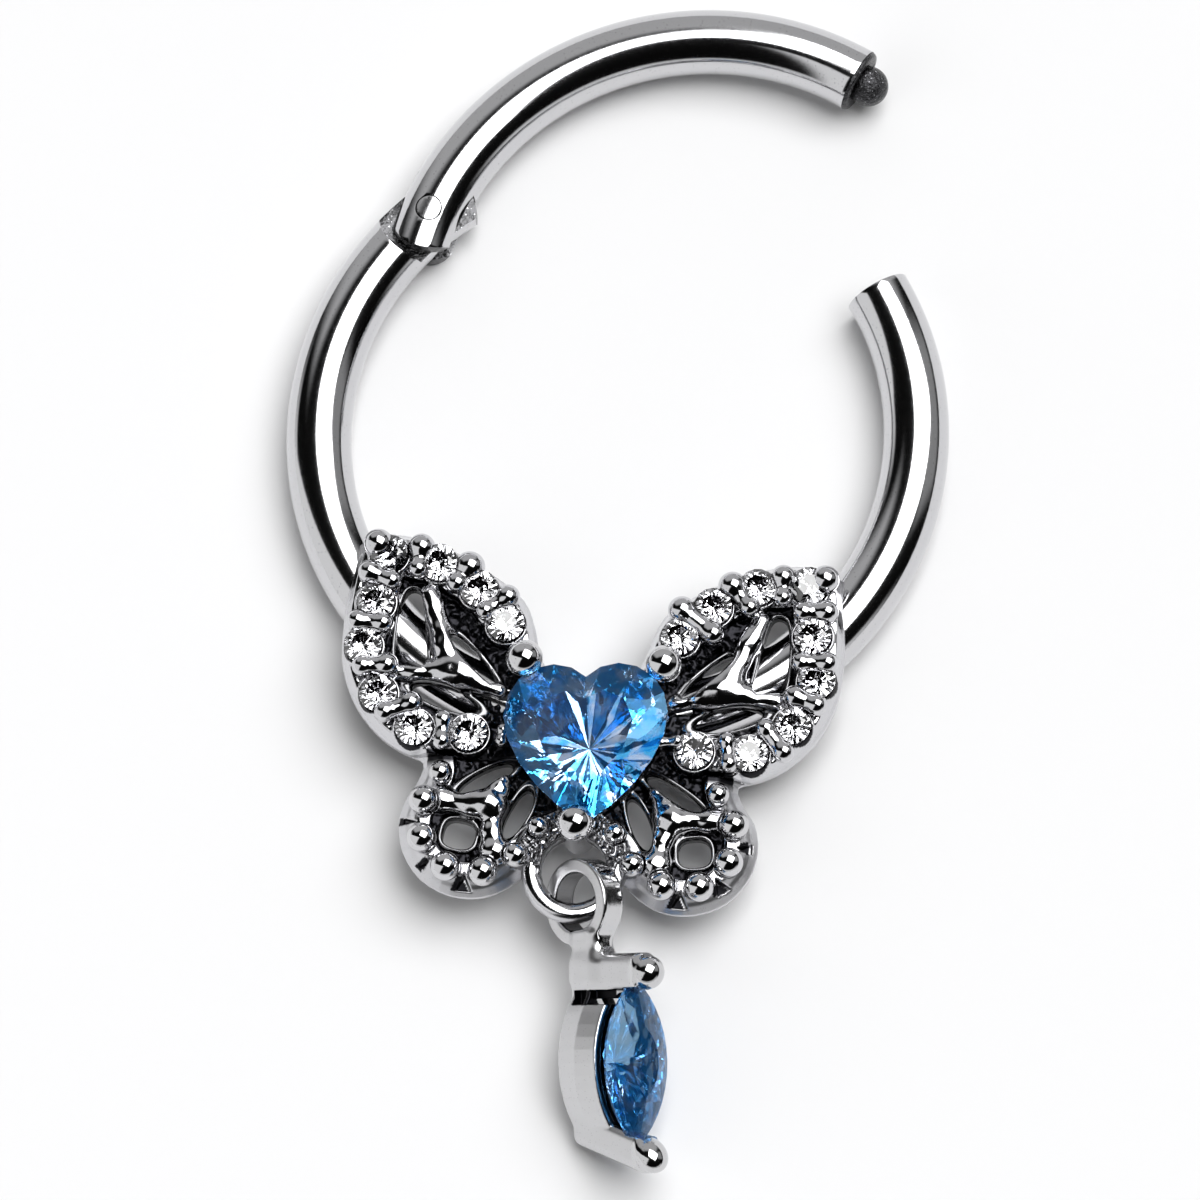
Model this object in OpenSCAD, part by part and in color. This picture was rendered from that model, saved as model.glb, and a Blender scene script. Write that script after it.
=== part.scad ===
// Segment ring: a hinged piercing ring that lies flat and half open.
// An openwork butterfly with stones is soldered to its front arc, and a marquise drop hangs
// from the butterfly's tail loop. The ring's centre is at x = 0, y = 0 and the floor at z = 0.
// The butterfly's line of symmetry is the y axis, and its head points to +y.

/* [Ring tube] */
// Thickness of the round tube, 14 gauge
tube_d = 1.6; // [1.5:0.05:1.7]
// Clear diameter inside the ring
inner_d = 13; // [12.8:0.1:13.4]
// Direction of the hinge pin from the ring's centre, in degrees from +x
pin_angle = 134.5; // [133:0.5:136]
// Direction of the fixed arc's open end
end_angle = 34.6; // [33:0.2:36]

/* [Hinge] */
// How far the gate stands open, in degrees from closed
open_angle = 28; // [0:1:60]
// Diameter of the hinge pin
pin_d = 0.64; // [0.5:0.02:0.7]
// Thickness of the flat tongue between the fork's cheeks
tongue_t = 0.5; // [0.4:0.05:0.6]
// Gap on each side of the tongue, and round the pin where it turns
run_gap = 0.03; // [0.02:0.005:0.06]
// Length of the fork behind the pin's axis
fork_tail = 0.6; // [0.5:0.02:0.65]

/* [Catch] */
// Diameter of the ball on the gate's free end
ball_d = 1.0; // [0.9:0.02:1.04]
// Gap between the closed gate and the fixed arc
shut_gap = 0.06; // [0.04:0.01:0.1]

/* [Butterfly] */
// Height of the casting's back above the floor
plate_low = 1.2; // [1.1:0.05:1.3]
// Thickness of the wing plate
plate_t = 0.6; // [0.5:0.05:0.7]
// Diameter of the round wing stones
stone_d = 0.92; // [0.86:0.02:0.96]
// Diameter of the plain beads on the lower wings
bead_d = 0.64; // [0.56:0.02:0.7]
// Diameter of the three balls that hold the heart
heart_ball_d = 0.9; // [0.8:0.02:0.94]
// Height of the heart stone's widest line above the floor
heart_girdle = 2.85; // [2.8:0.05:3]

/* [Drop] */
// Length of the marquise stone
drop_stone_l = 4; // [3.8:0.1:4.1]
// Width of the marquise stone
drop_stone_w = 2; // [1.9:0.05:2.1]
// Height of the drop's basket wall
basket_h = 1.44; // [1.3:0.02:1.5]
// Diameter of the bail ring that links the drop to the tail loop
bail_d = 2.1; // [2.06:0.01:2.12]

/* [Hidden] */
$fn = 48;

tube_r = tube_d / 2;
ring_r = (inner_d + tube_d) / 2;
pin_x = ring_r * cos(pin_angle);
pin_y = ring_r * sin(pin_angle);

// The shoulder is hollowed round the fork's end, and the slot's root clears the tongue's tip
shoulder_r = norm([fork_tail, tube_r]) + 0.16;
tongue_reach = 2 * asin((shoulder_r - 0.01) / 2 / ring_r);
tongue_slant = 26;
slot_r = shoulder_r + 0.06;

// The catch: how far the ball's centre stands out, its neck, and its socket
ball_out = 0.24;
neck_r = 0.4;
catch_gap = 0.04;
rim_t = 0.12;

// The heart lies just outside the tube's centre line
heart_y = -(ring_r + 0.98);
plate_top = plate_low + plate_t;
border_top = plate_top + 0.3;
bar_top = plate_top + 0.18;
stone_gap = 0.03;
border_r = 0.56;
lip_r = 0.17;
lip_half = 0.33;
tail_r = 0.98;
tail_wire_r = 0.2;
tail_y = -2.98;
tail_z = plate_low + 0.39;

// Wing stones of one side, from the heart round the border, the last one by the heart
// Columns: x, y from the heart's centre
stones = [
    [2.11, 2.98],
    [2.84, 3.79],
    [3.86, 4.36],
    [5.10, 4.50],
    [5.29, 3.26],
    [5.49, 2.16],
    [5.00, 1.00],
    [4.05, 0.23],
    [2.72, 0.20]
];

// Plain beads of one lower wing, from the notch between the wings to the tail
// Columns: x, y from the heart's centre, size as a share of bead_d
beads = [
    [3.34, -0.81, 0.8],
    [3.73, -1.62, 1],
    [3.69, -2.50, 1],
    [3.05, -3.15, 1],
    [2.15, -3.18, 1],
    [1.42, -2.74, 0.85],
    [0.90, -1.94, 0.75]
];

// Outer edge of one side's wings, from the heart's top round to the tail, then back inside
// Columns: x, y from the heart's centre
wing_edge = [
    [0.70, 1.55],
    [1.25, 2.40],
    [1.45, 3.08],
    [1.78, 3.72],
    [2.50, 4.25],
    [3.50, 4.78],
    [4.55, 5.08],
    [5.60, 5.06],
    [5.90, 4.50],
    [6.03, 3.50],
    [6.06, 2.50],
    [5.96, 1.65],
    [5.56, 0.78],
    [4.94, 0.10],
    [4.30, -0.27],
    [3.80, -0.46],
    [3.92, -0.92],
    [4.20, -1.38],
    [4.32, -2.00],
    [4.16, -2.70],
    [3.68, -3.32],
    [2.95, -3.66],
    [2.20, -3.66],
    [1.60, -3.38],
    [1.05, -2.88],
    [0.60, -2.35],
    [-0.20, -2.10],
    [-0.20, 1.00]
];

// Straight bars of the openwork on one side
// Columns: x and y of one end, x and y of the other end, width
bars = [
    [3.40, 1.80, 3.72, 2.90, 0.30],
    [3.72, 2.90, 3.60, 3.75, 0.26],
    [3.40, 1.80, 4.80, 1.62, 0.30],
    [3.40, 1.80, 2.20, 1.35, 0.36],
    [2.35, -1.30, 3.40, -1.40, 0.34],
    [2.35, -1.30, 1.85, -0.75, 0.34],
    [2.35, -1.30, 2.08, -2.70, 0.34]
];

// Openings cut through one side of the plate, all leaf shaped or round cornered
// Columns: x, y of the centre, half length, half width, turn in degrees, corner fullness
openings = [
    [2.88, 2.12, 0.78, 0.17, 45, 1],
    [4.40, 2.66, 0.98, 0.28, 98, 1.3],
    [3.45, 1.16, 0.78, 0.20, 14, 1],
    [2.32, -0.78, 0.72, 0.22, -31, 1.1],
    [1.52, -1.60, 0.60, 0.20, -68, 1.1],
    [2.80, -2.22, 0.44, 0.38, 35, 1.4]
];

// Right half of the heart's outline, from the notch to the tip
// Columns: x, y from the heart's centre
heart_half = [
    [0.00, 1.60],
    [0.35, 1.84],
    [0.78, 1.93],
    [1.22, 1.84],
    [1.62, 1.58],
    [1.88, 1.18],
    [1.98, 0.68],
    [1.88, 0.12],
    [1.60, -0.46],
    [1.18, -1.03],
    [0.68, -1.52],
    [0.22, -1.86],
    [0.00, -1.94]
];
heart_balls = [[-1.66, 2.00], [1.66, 2.00], [0, -2.02]];

// The drop is made upright round its bail's centre, with its length along -y and its face
// to +z, and is then laid over with its lower lug on the floor
drop_at = [0.43, heart_y + tail_y - 0.65, 1.62];
drop_lean = 6;
drop_dip = 11.2;
drop_roll = 46;
bail_t = 0.34;
bail_w = 0.54;
neck_w = 0.6;
neck_h = 1.46;
back_z = -0.17;
drop_mid = 3.82;
girdle_z = back_z + 1.86;
lug_r = 0.46;
lug_apart = 2.12;
drop_ball_d = 0.62;
drop_ball_z = girdle_z + 0.54;

// A smooth closed curve through points, n steps from each point to the next
function blend(a, b, c, d, t) =
    0.5 * (2 * b + (c - a) * t + (2 * a - 5 * b + 4 * c - d) * t * t
    + (3 * b - a - 3 * c + d) * t * t * t);
function smooth(p, n) = [
    for (i = [0:len(p) - 1], k = [0:n - 1])
        blend(p[(i + len(p) - 1) % len(p)], p[i], p[(i + 1) % len(p)],
            p[(i + 2) % len(p)], k / n)
];

// An oval with its corners filled out by a power over 1
function bend(v, f) = sign(v) * pow(abs(v), 1 / f);
function oval(a, b, f, n = 24) = [
    for (i = [0:n - 1])
        [a * bend(cos(360 * i / n), f), b * bend(sin(360 * i / n), f)]
];

// The whole heart's outline, scaled about its centre
function heart(s) = concat(
    [for (p = heart_half) s * p],
    [for (i = [len(heart_half) - 2:-1:1]) s * [-heart_half[i][0], heart_half[i][1]]]
);

// A marquise outline of length l and width w as two arcs that meet in points
function marquise(l, w, n = 12) =
    let (r = (l * l + w * w) / (4 * w), a = asin(l / 2 / r)) concat(
        [for (i = [0:n - 1]) let (t = a - 2 * a * i / n)
            [r * cos(t) - r + w / 2, r * sin(t)]],
        [for (i = [0:n - 1]) let (t = -a + 2 * a * i / n)
            [r - w / 2 - r * cos(t), r * sin(t)]]
    );

// An arc of the tube between two directions
module tube(from, to) {
    translate([0, 0, tube_r])
        rotate([0, 0, from])
        rotate_extrude(angle = to - from, $fn = 96)
        translate([ring_r, 0])
        circle(tube_r);
}

// A round bar along the tube's direction at one angle, starting on its centre line
module along(angle, side) {
    translate([ring_r * cos(angle), ring_r * sin(angle), tube_r])
        rotate([0, 0, angle])
        rotate([-90 * side, 0, 0])
        children();
}

// A drum round the hinge pin's axis
module at_pin(r, low, high) {
    translate([pin_x, pin_y, low])
        cylinder(r = r, h = high - low);
}

module both_sides() {
    children();
    mirror([1, 0, 0])
        children();
}

// The arc's middle layer runs on past the shoulder as the hinge's tongue
module fixed_arc() {
    difference() {
        tube(pin_angle - tongue_reach, 360 + end_angle);
        at_pin(shoulder_r, -1, tube_r - tongue_t / 2);
        at_pin(shoulder_r, tube_r + tongue_t / 2, tube_d + 1);
        at_pin(pin_d / 2 + run_gap, -1, tube_d + 1);
        tongue_point();
        catch_socket();
    }
}

// What is cut from the tongue's end to leave a blunt point
module tongue_point() {
    for (s = [-1, 1])
        rotate([0, 0, pin_angle - tongue_reach])
        translate([ring_r, 0, -0.1])
        rotate([0, 0, s * tongue_slant])
        translate([s > 0 ? -0.01 : -1.99, -1, 0])
        cube([2, 1, tube_d + 0.2]);
}

// The catch's socket, with a wide mouth for the ball to swing in
module catch_socket() {
    along(end_angle, -1) {
        translate([0, 0, -0.02])
            cylinder(d1 = ball_d + 0.36, d2 = ball_d + 2 * catch_gap, h = 0.22);
        translate([0, 0, 0.1])
            cylinder(d = ball_d + 2 * catch_gap, h = ball_out + ball_d / 2);
    }
}

module wing_plate() {
    for (s = [0, 1])
        mirror([s, 0, 0])
        linear_extrude(plate_t)
        difference() {
            polygon(smooth(wing_edge, 3));
            for (o = openings)
                translate([o[0], o[1]])
                rotate(o[4])
                polygon(oval(o[2], o[3], o[5]));
        }
}

// The outline of a bar with round ends from x1, y1 to x2, y2
function bar(x1, y1, x2, y2, w, n = 6) =
    let (turn = atan2(y2 - y1, x2 - x1)) concat(
        [for (i = [0:n]) let (t = turn - 90 + 180 * i / n)
            [x2 + w / 2 * cos(t), y2 + w / 2 * sin(t)]],
        [for (i = [0:n]) let (t = turn + 90 + 180 * i / n)
            [x1 + w / 2 * cos(t), y1 + w / 2 * sin(t)]]
    );

// Two small prong posts between neighbouring stones
module lips(p, q) {
    middle = (p + q) / 2;
    across = [p[1] - q[1], q[0] - p[0]] / norm(q - p) * lip_half;
    for (s = [-1, 1])
        translate([middle[0] + s * across[0], middle[1] + s * across[1], plate_low + 0.2])
        cylinder(r = lip_r, h = border_top + 0.14 - plate_low - 0.2, $fn = 24);
}

module wing_border() {
    for (p = stones)
        translate([p[0], p[1], plate_low + 0.1])
        cylinder(r = border_r, h = border_top - plate_low - 0.1);
}

module wing_beads() {
    for (b = beads)
        translate([b[0], b[1], plate_top + 0.15])
        sphere(d = b[2] * bead_d, $fn = 32);
}

module wing_bars() {
    translate([0, 0, plate_low + 0.15])
        linear_extrude(bar_top - plate_low - 0.15)
        for (b = bars)
            polygon(bar(b[0], b[1], b[2], b[3], b[4]));
}

module wing_lips() {
    for (i = [0:len(stones) - 2])
        lips(stones[i], stones[i + 1]);
}

// Seats that the wing stones sit in
module wing_seats() {
    for (p = stones)
        translate([p[0], p[1], border_top])
        round_stone(stone_d / 2 + stone_gap, stone_gap);
}

// A round stone with its widest line at z = 0, grown by a gap
module round_stone(r, gap) {
    depth = 0.42;
    crown = 0.16;
    translate([0, 0, -depth - gap - 0.04])
        cylinder(r1 = r * 0.2, r2 = r, h = depth + gap, $fn = 32);
    translate([0, 0, -0.04])
        cylinder(r = r, h = 0.04 + gap, $fn = 32);
    translate([0, 0, gap])
        cylinder(r1 = r, r2 = r * 0.6, h = crown, $fn = 32);
}

// The heart's basket: a collet under the stone, and three posts with balls
module heart_basket() {
    translate([0, 0, plate_low])
        linear_extrude(heart_girdle - 0.5 - plate_low)
        polygon(heart(0.84));
    for (b = heart_balls)
        translate([b[0], b[1], plate_low + 0.05]) {
        cylinder(d = heart_ball_d * 0.62, h = heart_girdle - plate_low);
        translate([0, 0, heart_girdle - plate_low])
            sphere(d = heart_ball_d);
    }
}

// Room for the heart stone and its tapered underside
module heart_room() {
    translate([0, 0, heart_girdle - 0.36])
        linear_extrude(0.54)
        polygon(heart(1.02));
    translate([0, 0, heart_girdle])
        linear_extrude(1)
        polygon(heart(0.88));
    for (k = [0:2])
        translate([0, 0, heart_girdle - 1.55 + 0.35 * k])
        linear_extrude(0.6)
        polygon(heart(0.32 + 0.22 * k));
}

module tail_loop() {
    translate([0, tail_y, tail_z])
        rotate_extrude()
        translate([tail_r, 0])
        circle(tail_wire_r, $fn = 32);
}

module butterfly() {
    translate([0, heart_y, 0])
        difference() {
        union() {
            translate([0, 0, plate_low])
                wing_plate();
            both_sides() {
                wing_border();
                wing_beads();
                wing_bars();
                wing_lips();
            }
            heart_basket();
            tail_loop();
        }
        heart_room();
        both_sides()
            wing_seats();
    }
}

module butterfly_ring() {
    color("silver") {
        fixed_arc();
        butterfly();
    }
}

module heart_stone() {
    color("deepskyblue")
        translate([0, heart_y, heart_girdle]) {
        translate([0, 0, -0.08])
            linear_extrude(0.1)
            polygon(heart(1));
        translate([0, 0, 0.02])
            linear_extrude(0.42, scale = 0.62)
            polygon(heart(1));
        translate([0, 0, -0.08])
            mirror([0, 0, 1])
            linear_extrude(1.4, scale = 0.1)
            polygon(heart(1));
    }
}

module wing_stones(side) {
    color("white")
        for (p = stones)
            translate([side * p[0], heart_y + p[1], border_top])
            round_stone(stone_d / 2, 0);
}

module left_wing_stones() {
    wing_stones(-1);
}

module right_wing_stones() {
    wing_stones(1);
}

// Everything on the drop is made upright and then laid as it rests
module laid_drop() {
    translate(drop_at)
        rotate([0, 0, drop_lean])
        rotate([drop_dip, 0, 0])
        rotate([0, drop_roll, 0])
        children();
}

// The bail is a flat band bent to a ring in the plane of the drop's length and depth
module bail() {
    translate([-bail_w / 2, 0, 0])
        rotate([90, 0, 90])
        cylinder(d = bail_d, h = bail_w);
}

module bail_hole() {
    translate([-bail_w, 0, 0])
        rotate([90, 0, 90])
        cylinder(d = bail_d - 2 * bail_t, h = 2 * bail_w);
}

// A lug at one tip of the stone, and the ball on top that holds the stone
module drop_lug(y) {
    translate([0, y, back_z]) {
        cylinder(r = lug_r, h = girdle_z - back_z + 0.28, $fn = 32);
        translate([0, 0, drop_ball_z - back_z])
            sphere(d = drop_ball_d, $fn = 32);
    }
}

module drop_body() {
    translate([-neck_w / 2, -drop_mid + lug_apart - 0.2, back_z])
        cube([neck_w, drop_mid - lug_apart - 0.6, neck_h]);
    translate([0, -drop_mid, back_z])
        linear_extrude(basket_h)
        polygon(marquise(drop_stone_l - 0.1, drop_stone_w - 0.42));
    drop_lug(-drop_mid + lug_apart);
    drop_lug(-drop_mid - lug_apart);
    bail();
}

// Room for the stone, in steps that follow its tapered underside
module drop_room() {
    translate([0, -drop_mid, girdle_z - 0.3])
        linear_extrude(0.7)
        polygon(marquise(drop_stone_l + 0.08, drop_stone_w + 0.06));
    for (k = [0:2])
        translate([0, -drop_mid, girdle_z - 1.1 + 0.28 * k])
        linear_extrude(0.7)
        polygon(marquise(drop_stone_l * (0.4 + 0.2 * k), drop_stone_w * (0.4 + 0.2 * k)));
}

module drop_frame() {
    color("silver")
        laid_drop()
        difference() {
        drop_body();
        drop_room();
        bail_hole();
    }
}

module drop_stone() {
    color("royalblue")
        laid_drop()
        translate([0, -drop_mid, girdle_z]) {
        translate([0, 0, -0.1])
            linear_extrude(0.1)
            polygon(marquise(drop_stone_l, drop_stone_w));
        linear_extrude(0.36, scale = 0.6)
            polygon(marquise(drop_stone_l, drop_stone_w));
        translate([0, 0, -0.1])
            mirror([0, 0, 1])
            linear_extrude(0.8, scale = 0.1)
            polygon(marquise(drop_stone_l, drop_stone_w));
    }
}

// Turns the closed gate about the pin to where it stands open
module opened() {
    translate([pin_x, pin_y, 0])
        rotate([0, 0, open_angle])
        translate([-pin_x, -pin_y, 0])
        children();
}

module closed_gate() {
    gap_angle = shut_gap / ring_r * 180 / PI;
    rim_angle = rim_t / ring_r * 180 / PI;
    face = end_angle + gap_angle;
    tail_angle = fork_tail / ring_r * 180 / PI;
    difference() {
        union() {
            tube(face + rim_angle, pin_angle + tail_angle);
            along(face + rim_angle, -1) {
                translate([0, 0, -0.05])
                    cylinder(r1 = tube_r - 0.01, r2 = tube_r - 0.12, h = rim_t + 0.05);
                cylinder(r = neck_r, h = rim_t + ball_out);
                translate([0, 0, rim_t + ball_out - shut_gap])
                    sphere(d = ball_d);
            }
        }
        // Slot between the cheeks
        at_pin(slot_r, tube_r - tongue_t / 2 - run_gap, tube_r + tongue_t / 2 + run_gap);
        at_pin(pin_d / 2 + 0.01, -1, tube_d + 1);
    }
}

module gate_arc() {
    color("silver")
        opened()
        closed_gate();
}

module hinge_pin() {
    color("gainsboro")
        opened()
        intersection() {
        at_pin(pin_d / 2, -1, tube_d + 1);
        tube(pin_angle - 8, pin_angle + 8);
    }
}

butterfly_ring();
heart_stone();
left_wing_stones();
right_wing_stones();
drop_frame();
drop_stone();
gate_arc();
hinge_pin();
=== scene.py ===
import math

import bmesh
import bpy
import numpy as np
from mathutils import Matrix, Vector


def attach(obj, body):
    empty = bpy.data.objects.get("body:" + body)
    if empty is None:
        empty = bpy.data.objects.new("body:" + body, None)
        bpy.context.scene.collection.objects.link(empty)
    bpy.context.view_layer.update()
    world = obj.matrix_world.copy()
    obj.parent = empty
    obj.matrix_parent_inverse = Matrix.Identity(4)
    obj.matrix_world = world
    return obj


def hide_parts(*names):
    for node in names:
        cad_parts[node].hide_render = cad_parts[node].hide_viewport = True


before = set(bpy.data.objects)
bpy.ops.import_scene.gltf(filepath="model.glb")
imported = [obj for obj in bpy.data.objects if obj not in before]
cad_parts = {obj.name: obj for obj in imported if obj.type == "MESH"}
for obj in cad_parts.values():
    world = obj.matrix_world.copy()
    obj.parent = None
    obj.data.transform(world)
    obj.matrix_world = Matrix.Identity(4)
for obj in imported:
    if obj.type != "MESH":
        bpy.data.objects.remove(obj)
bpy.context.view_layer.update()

print("frame loaded:", sorted(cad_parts))

# Everything is modelled in millimetres and brought to metres when a piece is finished
mm = 0.001
ringMiddle = 7.3  # radius of the tube's middle line
tubeRadius = 0.8
heartY = -8.28  # the heart's centre, from which the butterfly is measured

tiny = 1e-12  # keeps a division from dividing by 0
far = 1e9  # further than any distance on the piece


# Small helpers

def direction(angle):
    # Cosine and sine of an angle in degrees
    a = math.radians(angle)
    return math.cos(a), math.sin(a)


def circleOutline(radius, n):
    turns = [2 * math.pi * k / n for k in range(n)]
    return [(radius * math.cos(a), radius * math.sin(a)) for a in turns]


def fade(value, width):
    # Grows from 0 to 1 while the value grows from 0 to the width
    return np.clip(value / width, 0, 1)


def newMesh(name, points, faces, smooth=True):
    mesh = bpy.data.meshes.new(name)
    mesh.from_pydata([tuple(map(float, p)) for p in points], [], [tuple(map(int, f)) for f in faces])
    mesh.polygons.foreach_set("use_smooth", [smooth] * len(mesh.polygons))
    mesh.update()
    obj = bpy.data.objects.new(name, mesh)
    bpy.context.scene.collection.objects.link(obj)
    return obj


def applyModifiers(obj):
    graph = bpy.context.evaluated_depsgraph_get()
    graph.update()
    mesh = bpy.data.meshes.new_from_object(obj.evaluated_get(graph), depsgraph=graph)
    obj.modifiers.clear()
    obj.data = mesh


def cutMarks(mesh, tolerance=0.012):
    # 1 for the faces off the tube's own round surface, which a tool has cut; these get the dark steel that
    # paints shade
    marks = []
    for face in mesh.polygons:
        x, y, z = face.center
        away = math.hypot(math.hypot(x, y) - ringMiddle, z - tubeRadius)
        marks.append(int(abs(away - tubeRadius) > tolerance))
    return marks


def finishPiece(obj, material, body, nodes=(), sharpAngle=None, cutMaterial=None):
    # Brings a piece to metres, gives it its materials and tells the frame what it is
    mesh = obj.data
    marks = cutMarks(mesh) if cutMaterial else [0] * len(mesh.polygons)
    mesh.transform(Matrix.Diagonal((mm, mm, mm, 1.0)))
    mesh.materials.clear()
    mesh.materials.append(material)
    if cutMaterial:
        mesh.materials.append(cutMaterial)
    mesh.polygons.foreach_set("material_index", marks)
    if sharpAngle:
        mesh.set_sharp_from_angle(angle=math.radians(sharpAngle))
    mesh.update()
    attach(obj, body)
    if nodes:
        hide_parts(*nodes)
    print("piece", obj.name, "with", len(mesh.polygons), "faces")


def markPoints(obj, **marks):
    # Puts a number on each point for the materials to read
    for title, value in marks.items():
        mark = obj.data.attributes.new(title, "FLOAT", "POINT")
        mark.data.foreach_set("value", np.asarray(value, np.float32))


def removeObject(obj):
    bpy.data.objects.remove(obj, do_unlink=True)


# Shapes given by a distance field

def smoothCurve(points, steps=3):
    # A closed Catmull-Rom curve through the points
    n = len(points)
    out = []
    for i in range(n):
        a, b, c, d = (np.array(points[(i + k) % n], float) for k in (-1, 0, 1, 2))
        for k in range(steps):
            t = k / steps
            out.append(0.5 * (2 * b + (c - a) * t + (2 * a - 5 * b + 4 * c - d) * t * t
                              + (3 * b - a - 3 * c + d) * t ** 3))
    return out


def outlineDistance(points, x, y):
    # Distance to a closed outline, negative inside it
    nearest = np.full(np.broadcast(x, y).shape, far, np.float32)
    inside = np.zeros(nearest.shape, bool)
    n = len(points)
    for i in range(n):
        ax, ay = points[i]
        bx, by = points[(i + 1) % n]
        ex, ey = bx - ax, by - ay
        wx, wy = x - ax, y - ay
        t = np.clip((wx * ex + wy * ey) / (ex * ex + ey * ey + tiny), 0, 1)
        nearest = np.minimum(nearest, (wx - ex * t) ** 2 + (wy - ey * t) ** 2)
        if abs(ey) > tiny:
            inside ^= ((ay > y) != (by > y)) & (wx < ex * wy / ey)
    return np.where(inside, -1, 1) * np.sqrt(nearest)


def segmentDistance(x, y, ax, ay, bx, by):
    # Distance to the line from a to b
    ex, ey = bx - ax, by - ay
    t = np.clip(((x - ax) * ex + (y - ay) * ey) / (ex * ex + ey * ey + tiny), 0, 1)
    return np.hypot(x - ax - ex * t, y - ay - ey * t)


def blendUnion(a, b, k):
    # Both shapes, with a fillet about k wide between them
    h = np.clip(0.5 + 0.5 * (b - a) / k, 0, 1)
    return b * (1 - h) + a * h - k * h * (1 - h)


def blendCut(a, b, k):
    # a without b
    return -blendUnion(-a, b, k)


def slab(flat, z, low, high, r):
    # A flat shape drawn out from low to high, its edges rounded by r
    a = flat + r
    b = np.abs(z - (low + high) / 2) - (high - low) / 2 + r
    return np.minimum(np.maximum(a, b), 0) + np.hypot(np.maximum(a, 0), np.maximum(b, 0)) - r


def oval(x, y, cx, cy, halfLong, halfWide, turn, fullness):
    # A turned oval, an ellipse at fullness 1 and squarer above it. 1e-9 keeps the root off 0
    c, s = direction(turn)
    u = np.abs(((x - cx) * c + (y - cy) * s) / halfLong)
    v = np.abs(((y - cy) * c - (x - cx) * s) / halfWide)
    p = 2 * fullness
    return ((u ** p + v ** p + 1e-9) ** (1 / p) - 1) * min(halfLong, halfWide)


def crossedCells(value):
    # The cells that the zero surface crosses, their middle points in steps, and their numbers
    inside = value < 0
    corners = [(i, j, k) for i in (0, 1) for j in (0, 1) for k in (0, 1)]
    shape = tuple(s - 1 for s in value.shape)
    count = np.zeros(shape, np.int8)
    for i, j, k in corners:
        count += inside[i:shape[0] + i, j:shape[1] + j, k:shape[2] + k]
    active = (count > 0) & (count < 8)
    number = np.full(shape, -1, np.int32)
    cells = np.argwhere(active)
    number[active] = np.arange(len(cells))
    total = np.zeros((len(cells), 3))
    hits = np.zeros(len(cells))
    for a in corners:
        for axis in range(3):
            if a[axis]:
                continue
            b = tuple(v + (i == axis) for i, v in enumerate(a))
            fa = value[tuple((cells + a).T)]
            fb = value[tuple((cells + b).T)]
            crossed = (fa < 0) != (fb < 0)
            t = np.where(crossed, fa / np.where(crossed, fa - fb, 1), 0)
            place = np.array(a, float)[None, :] + t[:, None] * (np.array(b) - a)[None, :]
            total += np.where(crossed[:, None], place, 0)
            hits += crossed
    return cells + total / hits[:, None], number, inside


def cellQuads(number, inside):
    # A face round every grid edge that the surface crosses, turned outwards
    faces = []
    for axis in range(3):
        u, v = (axis + 1) % 3, (axis + 2) % 3
        take = [slice(1, -1)] * 3
        take[axis] = slice(0, -1)
        first = inside[tuple(take)]
        take[axis] = slice(1, None)
        second = inside[tuple(take)]
        where = np.argwhere(first != second)
        flip = second[tuple(where.T)]
        where[:, u] += 1
        where[:, v] += 1
        around = []
        for du, dv in ((-1, -1), (0, -1), (0, 0), (-1, 0)):
            at = where.copy()
            at[:, u] += du
            at[:, v] += dv
            around.append(number[tuple(at.T)])
        quads = np.stack(around, 1)
        quads[flip] = quads[flip][:, ::-1]
        faces.append(quads)
    return np.concatenate(faces)


def surfaceOf(field, low, high, step, passes=2, probe=0.25, reach=0.35, flattest=0.25):
    # Meshes the zero surface of field(x, y, z), then draws its points onto the true surface. The
    # probe and the furthest move are shares of the step
    axes = [np.arange(a - step, b + 2 * step, step, dtype=np.float32) for a, b in zip(low, high)]
    x, y, z = axes[0][:, None, None], axes[1][None, :, None], axes[2][None, None, :]
    value = np.asarray(field(x, y, z), np.float32)
    middles, number, inside = crossedCells(value)
    points = np.array([a[0] for a in axes], float) + middles * step
    e = probe * step
    for _ in range(passes):
        x, y, z = points.T.astype(np.float32)
        f = field(x, y, z)
        slope = np.stack([field(x + e, y, z) - f, field(x, y + e, z) - f, field(x, y, z + e) - f], 1) / e
        size = np.maximum((slope ** 2).sum(1), flattest)
        points = points + np.clip(-(f / size)[:, None] * slope, -reach * step, reach * step)
    return points, cellQuads(number, inside)


# Materials

def makeGroup(name, inputs, outputs, build):
    # A shader node group with named inputs and outputs
    group = bpy.data.node_groups.new(name, "ShaderNodeTree")
    for title, kind, value in inputs:
        socket = group.interface.new_socket(name=title, in_out="INPUT", socket_type=kind)
        socket.default_value = value
    for title, kind in outputs:
        group.interface.new_socket(name=title, in_out="OUTPUT", socket_type=kind)
    build(group, group.nodes.new("NodeGroupInput"), group.nodes.new("NodeGroupOutput"))
    return group


def addMath(tree, operation, a, b=None, c=None, clamp=False):
    # A maths node on sockets or numbers
    node = tree.nodes.new("ShaderNodeMath")
    node.operation = operation
    node.use_clamp = clamp
    for socket, value in zip(node.inputs, (a, b, c)):
        if value is None:
            continue
        if isinstance(value, bpy.types.NodeSocket):
            tree.links.new(value, socket)
        else:
            socket.default_value = value
    return node.outputs[0]


def addNode(tree, kind, values=None, links=None, **settings):
    # A node with its settings, its sockets' values and the sockets that feed it
    node = tree.nodes.new(kind)
    for title, value in settings.items():
        setattr(node, title, value)
    for title, value in (values or {}).items():
        node.inputs[title].default_value = value
    for title, source in (links or {}).items():
        tree.links.new(source, node.inputs[title])
    return node


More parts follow.
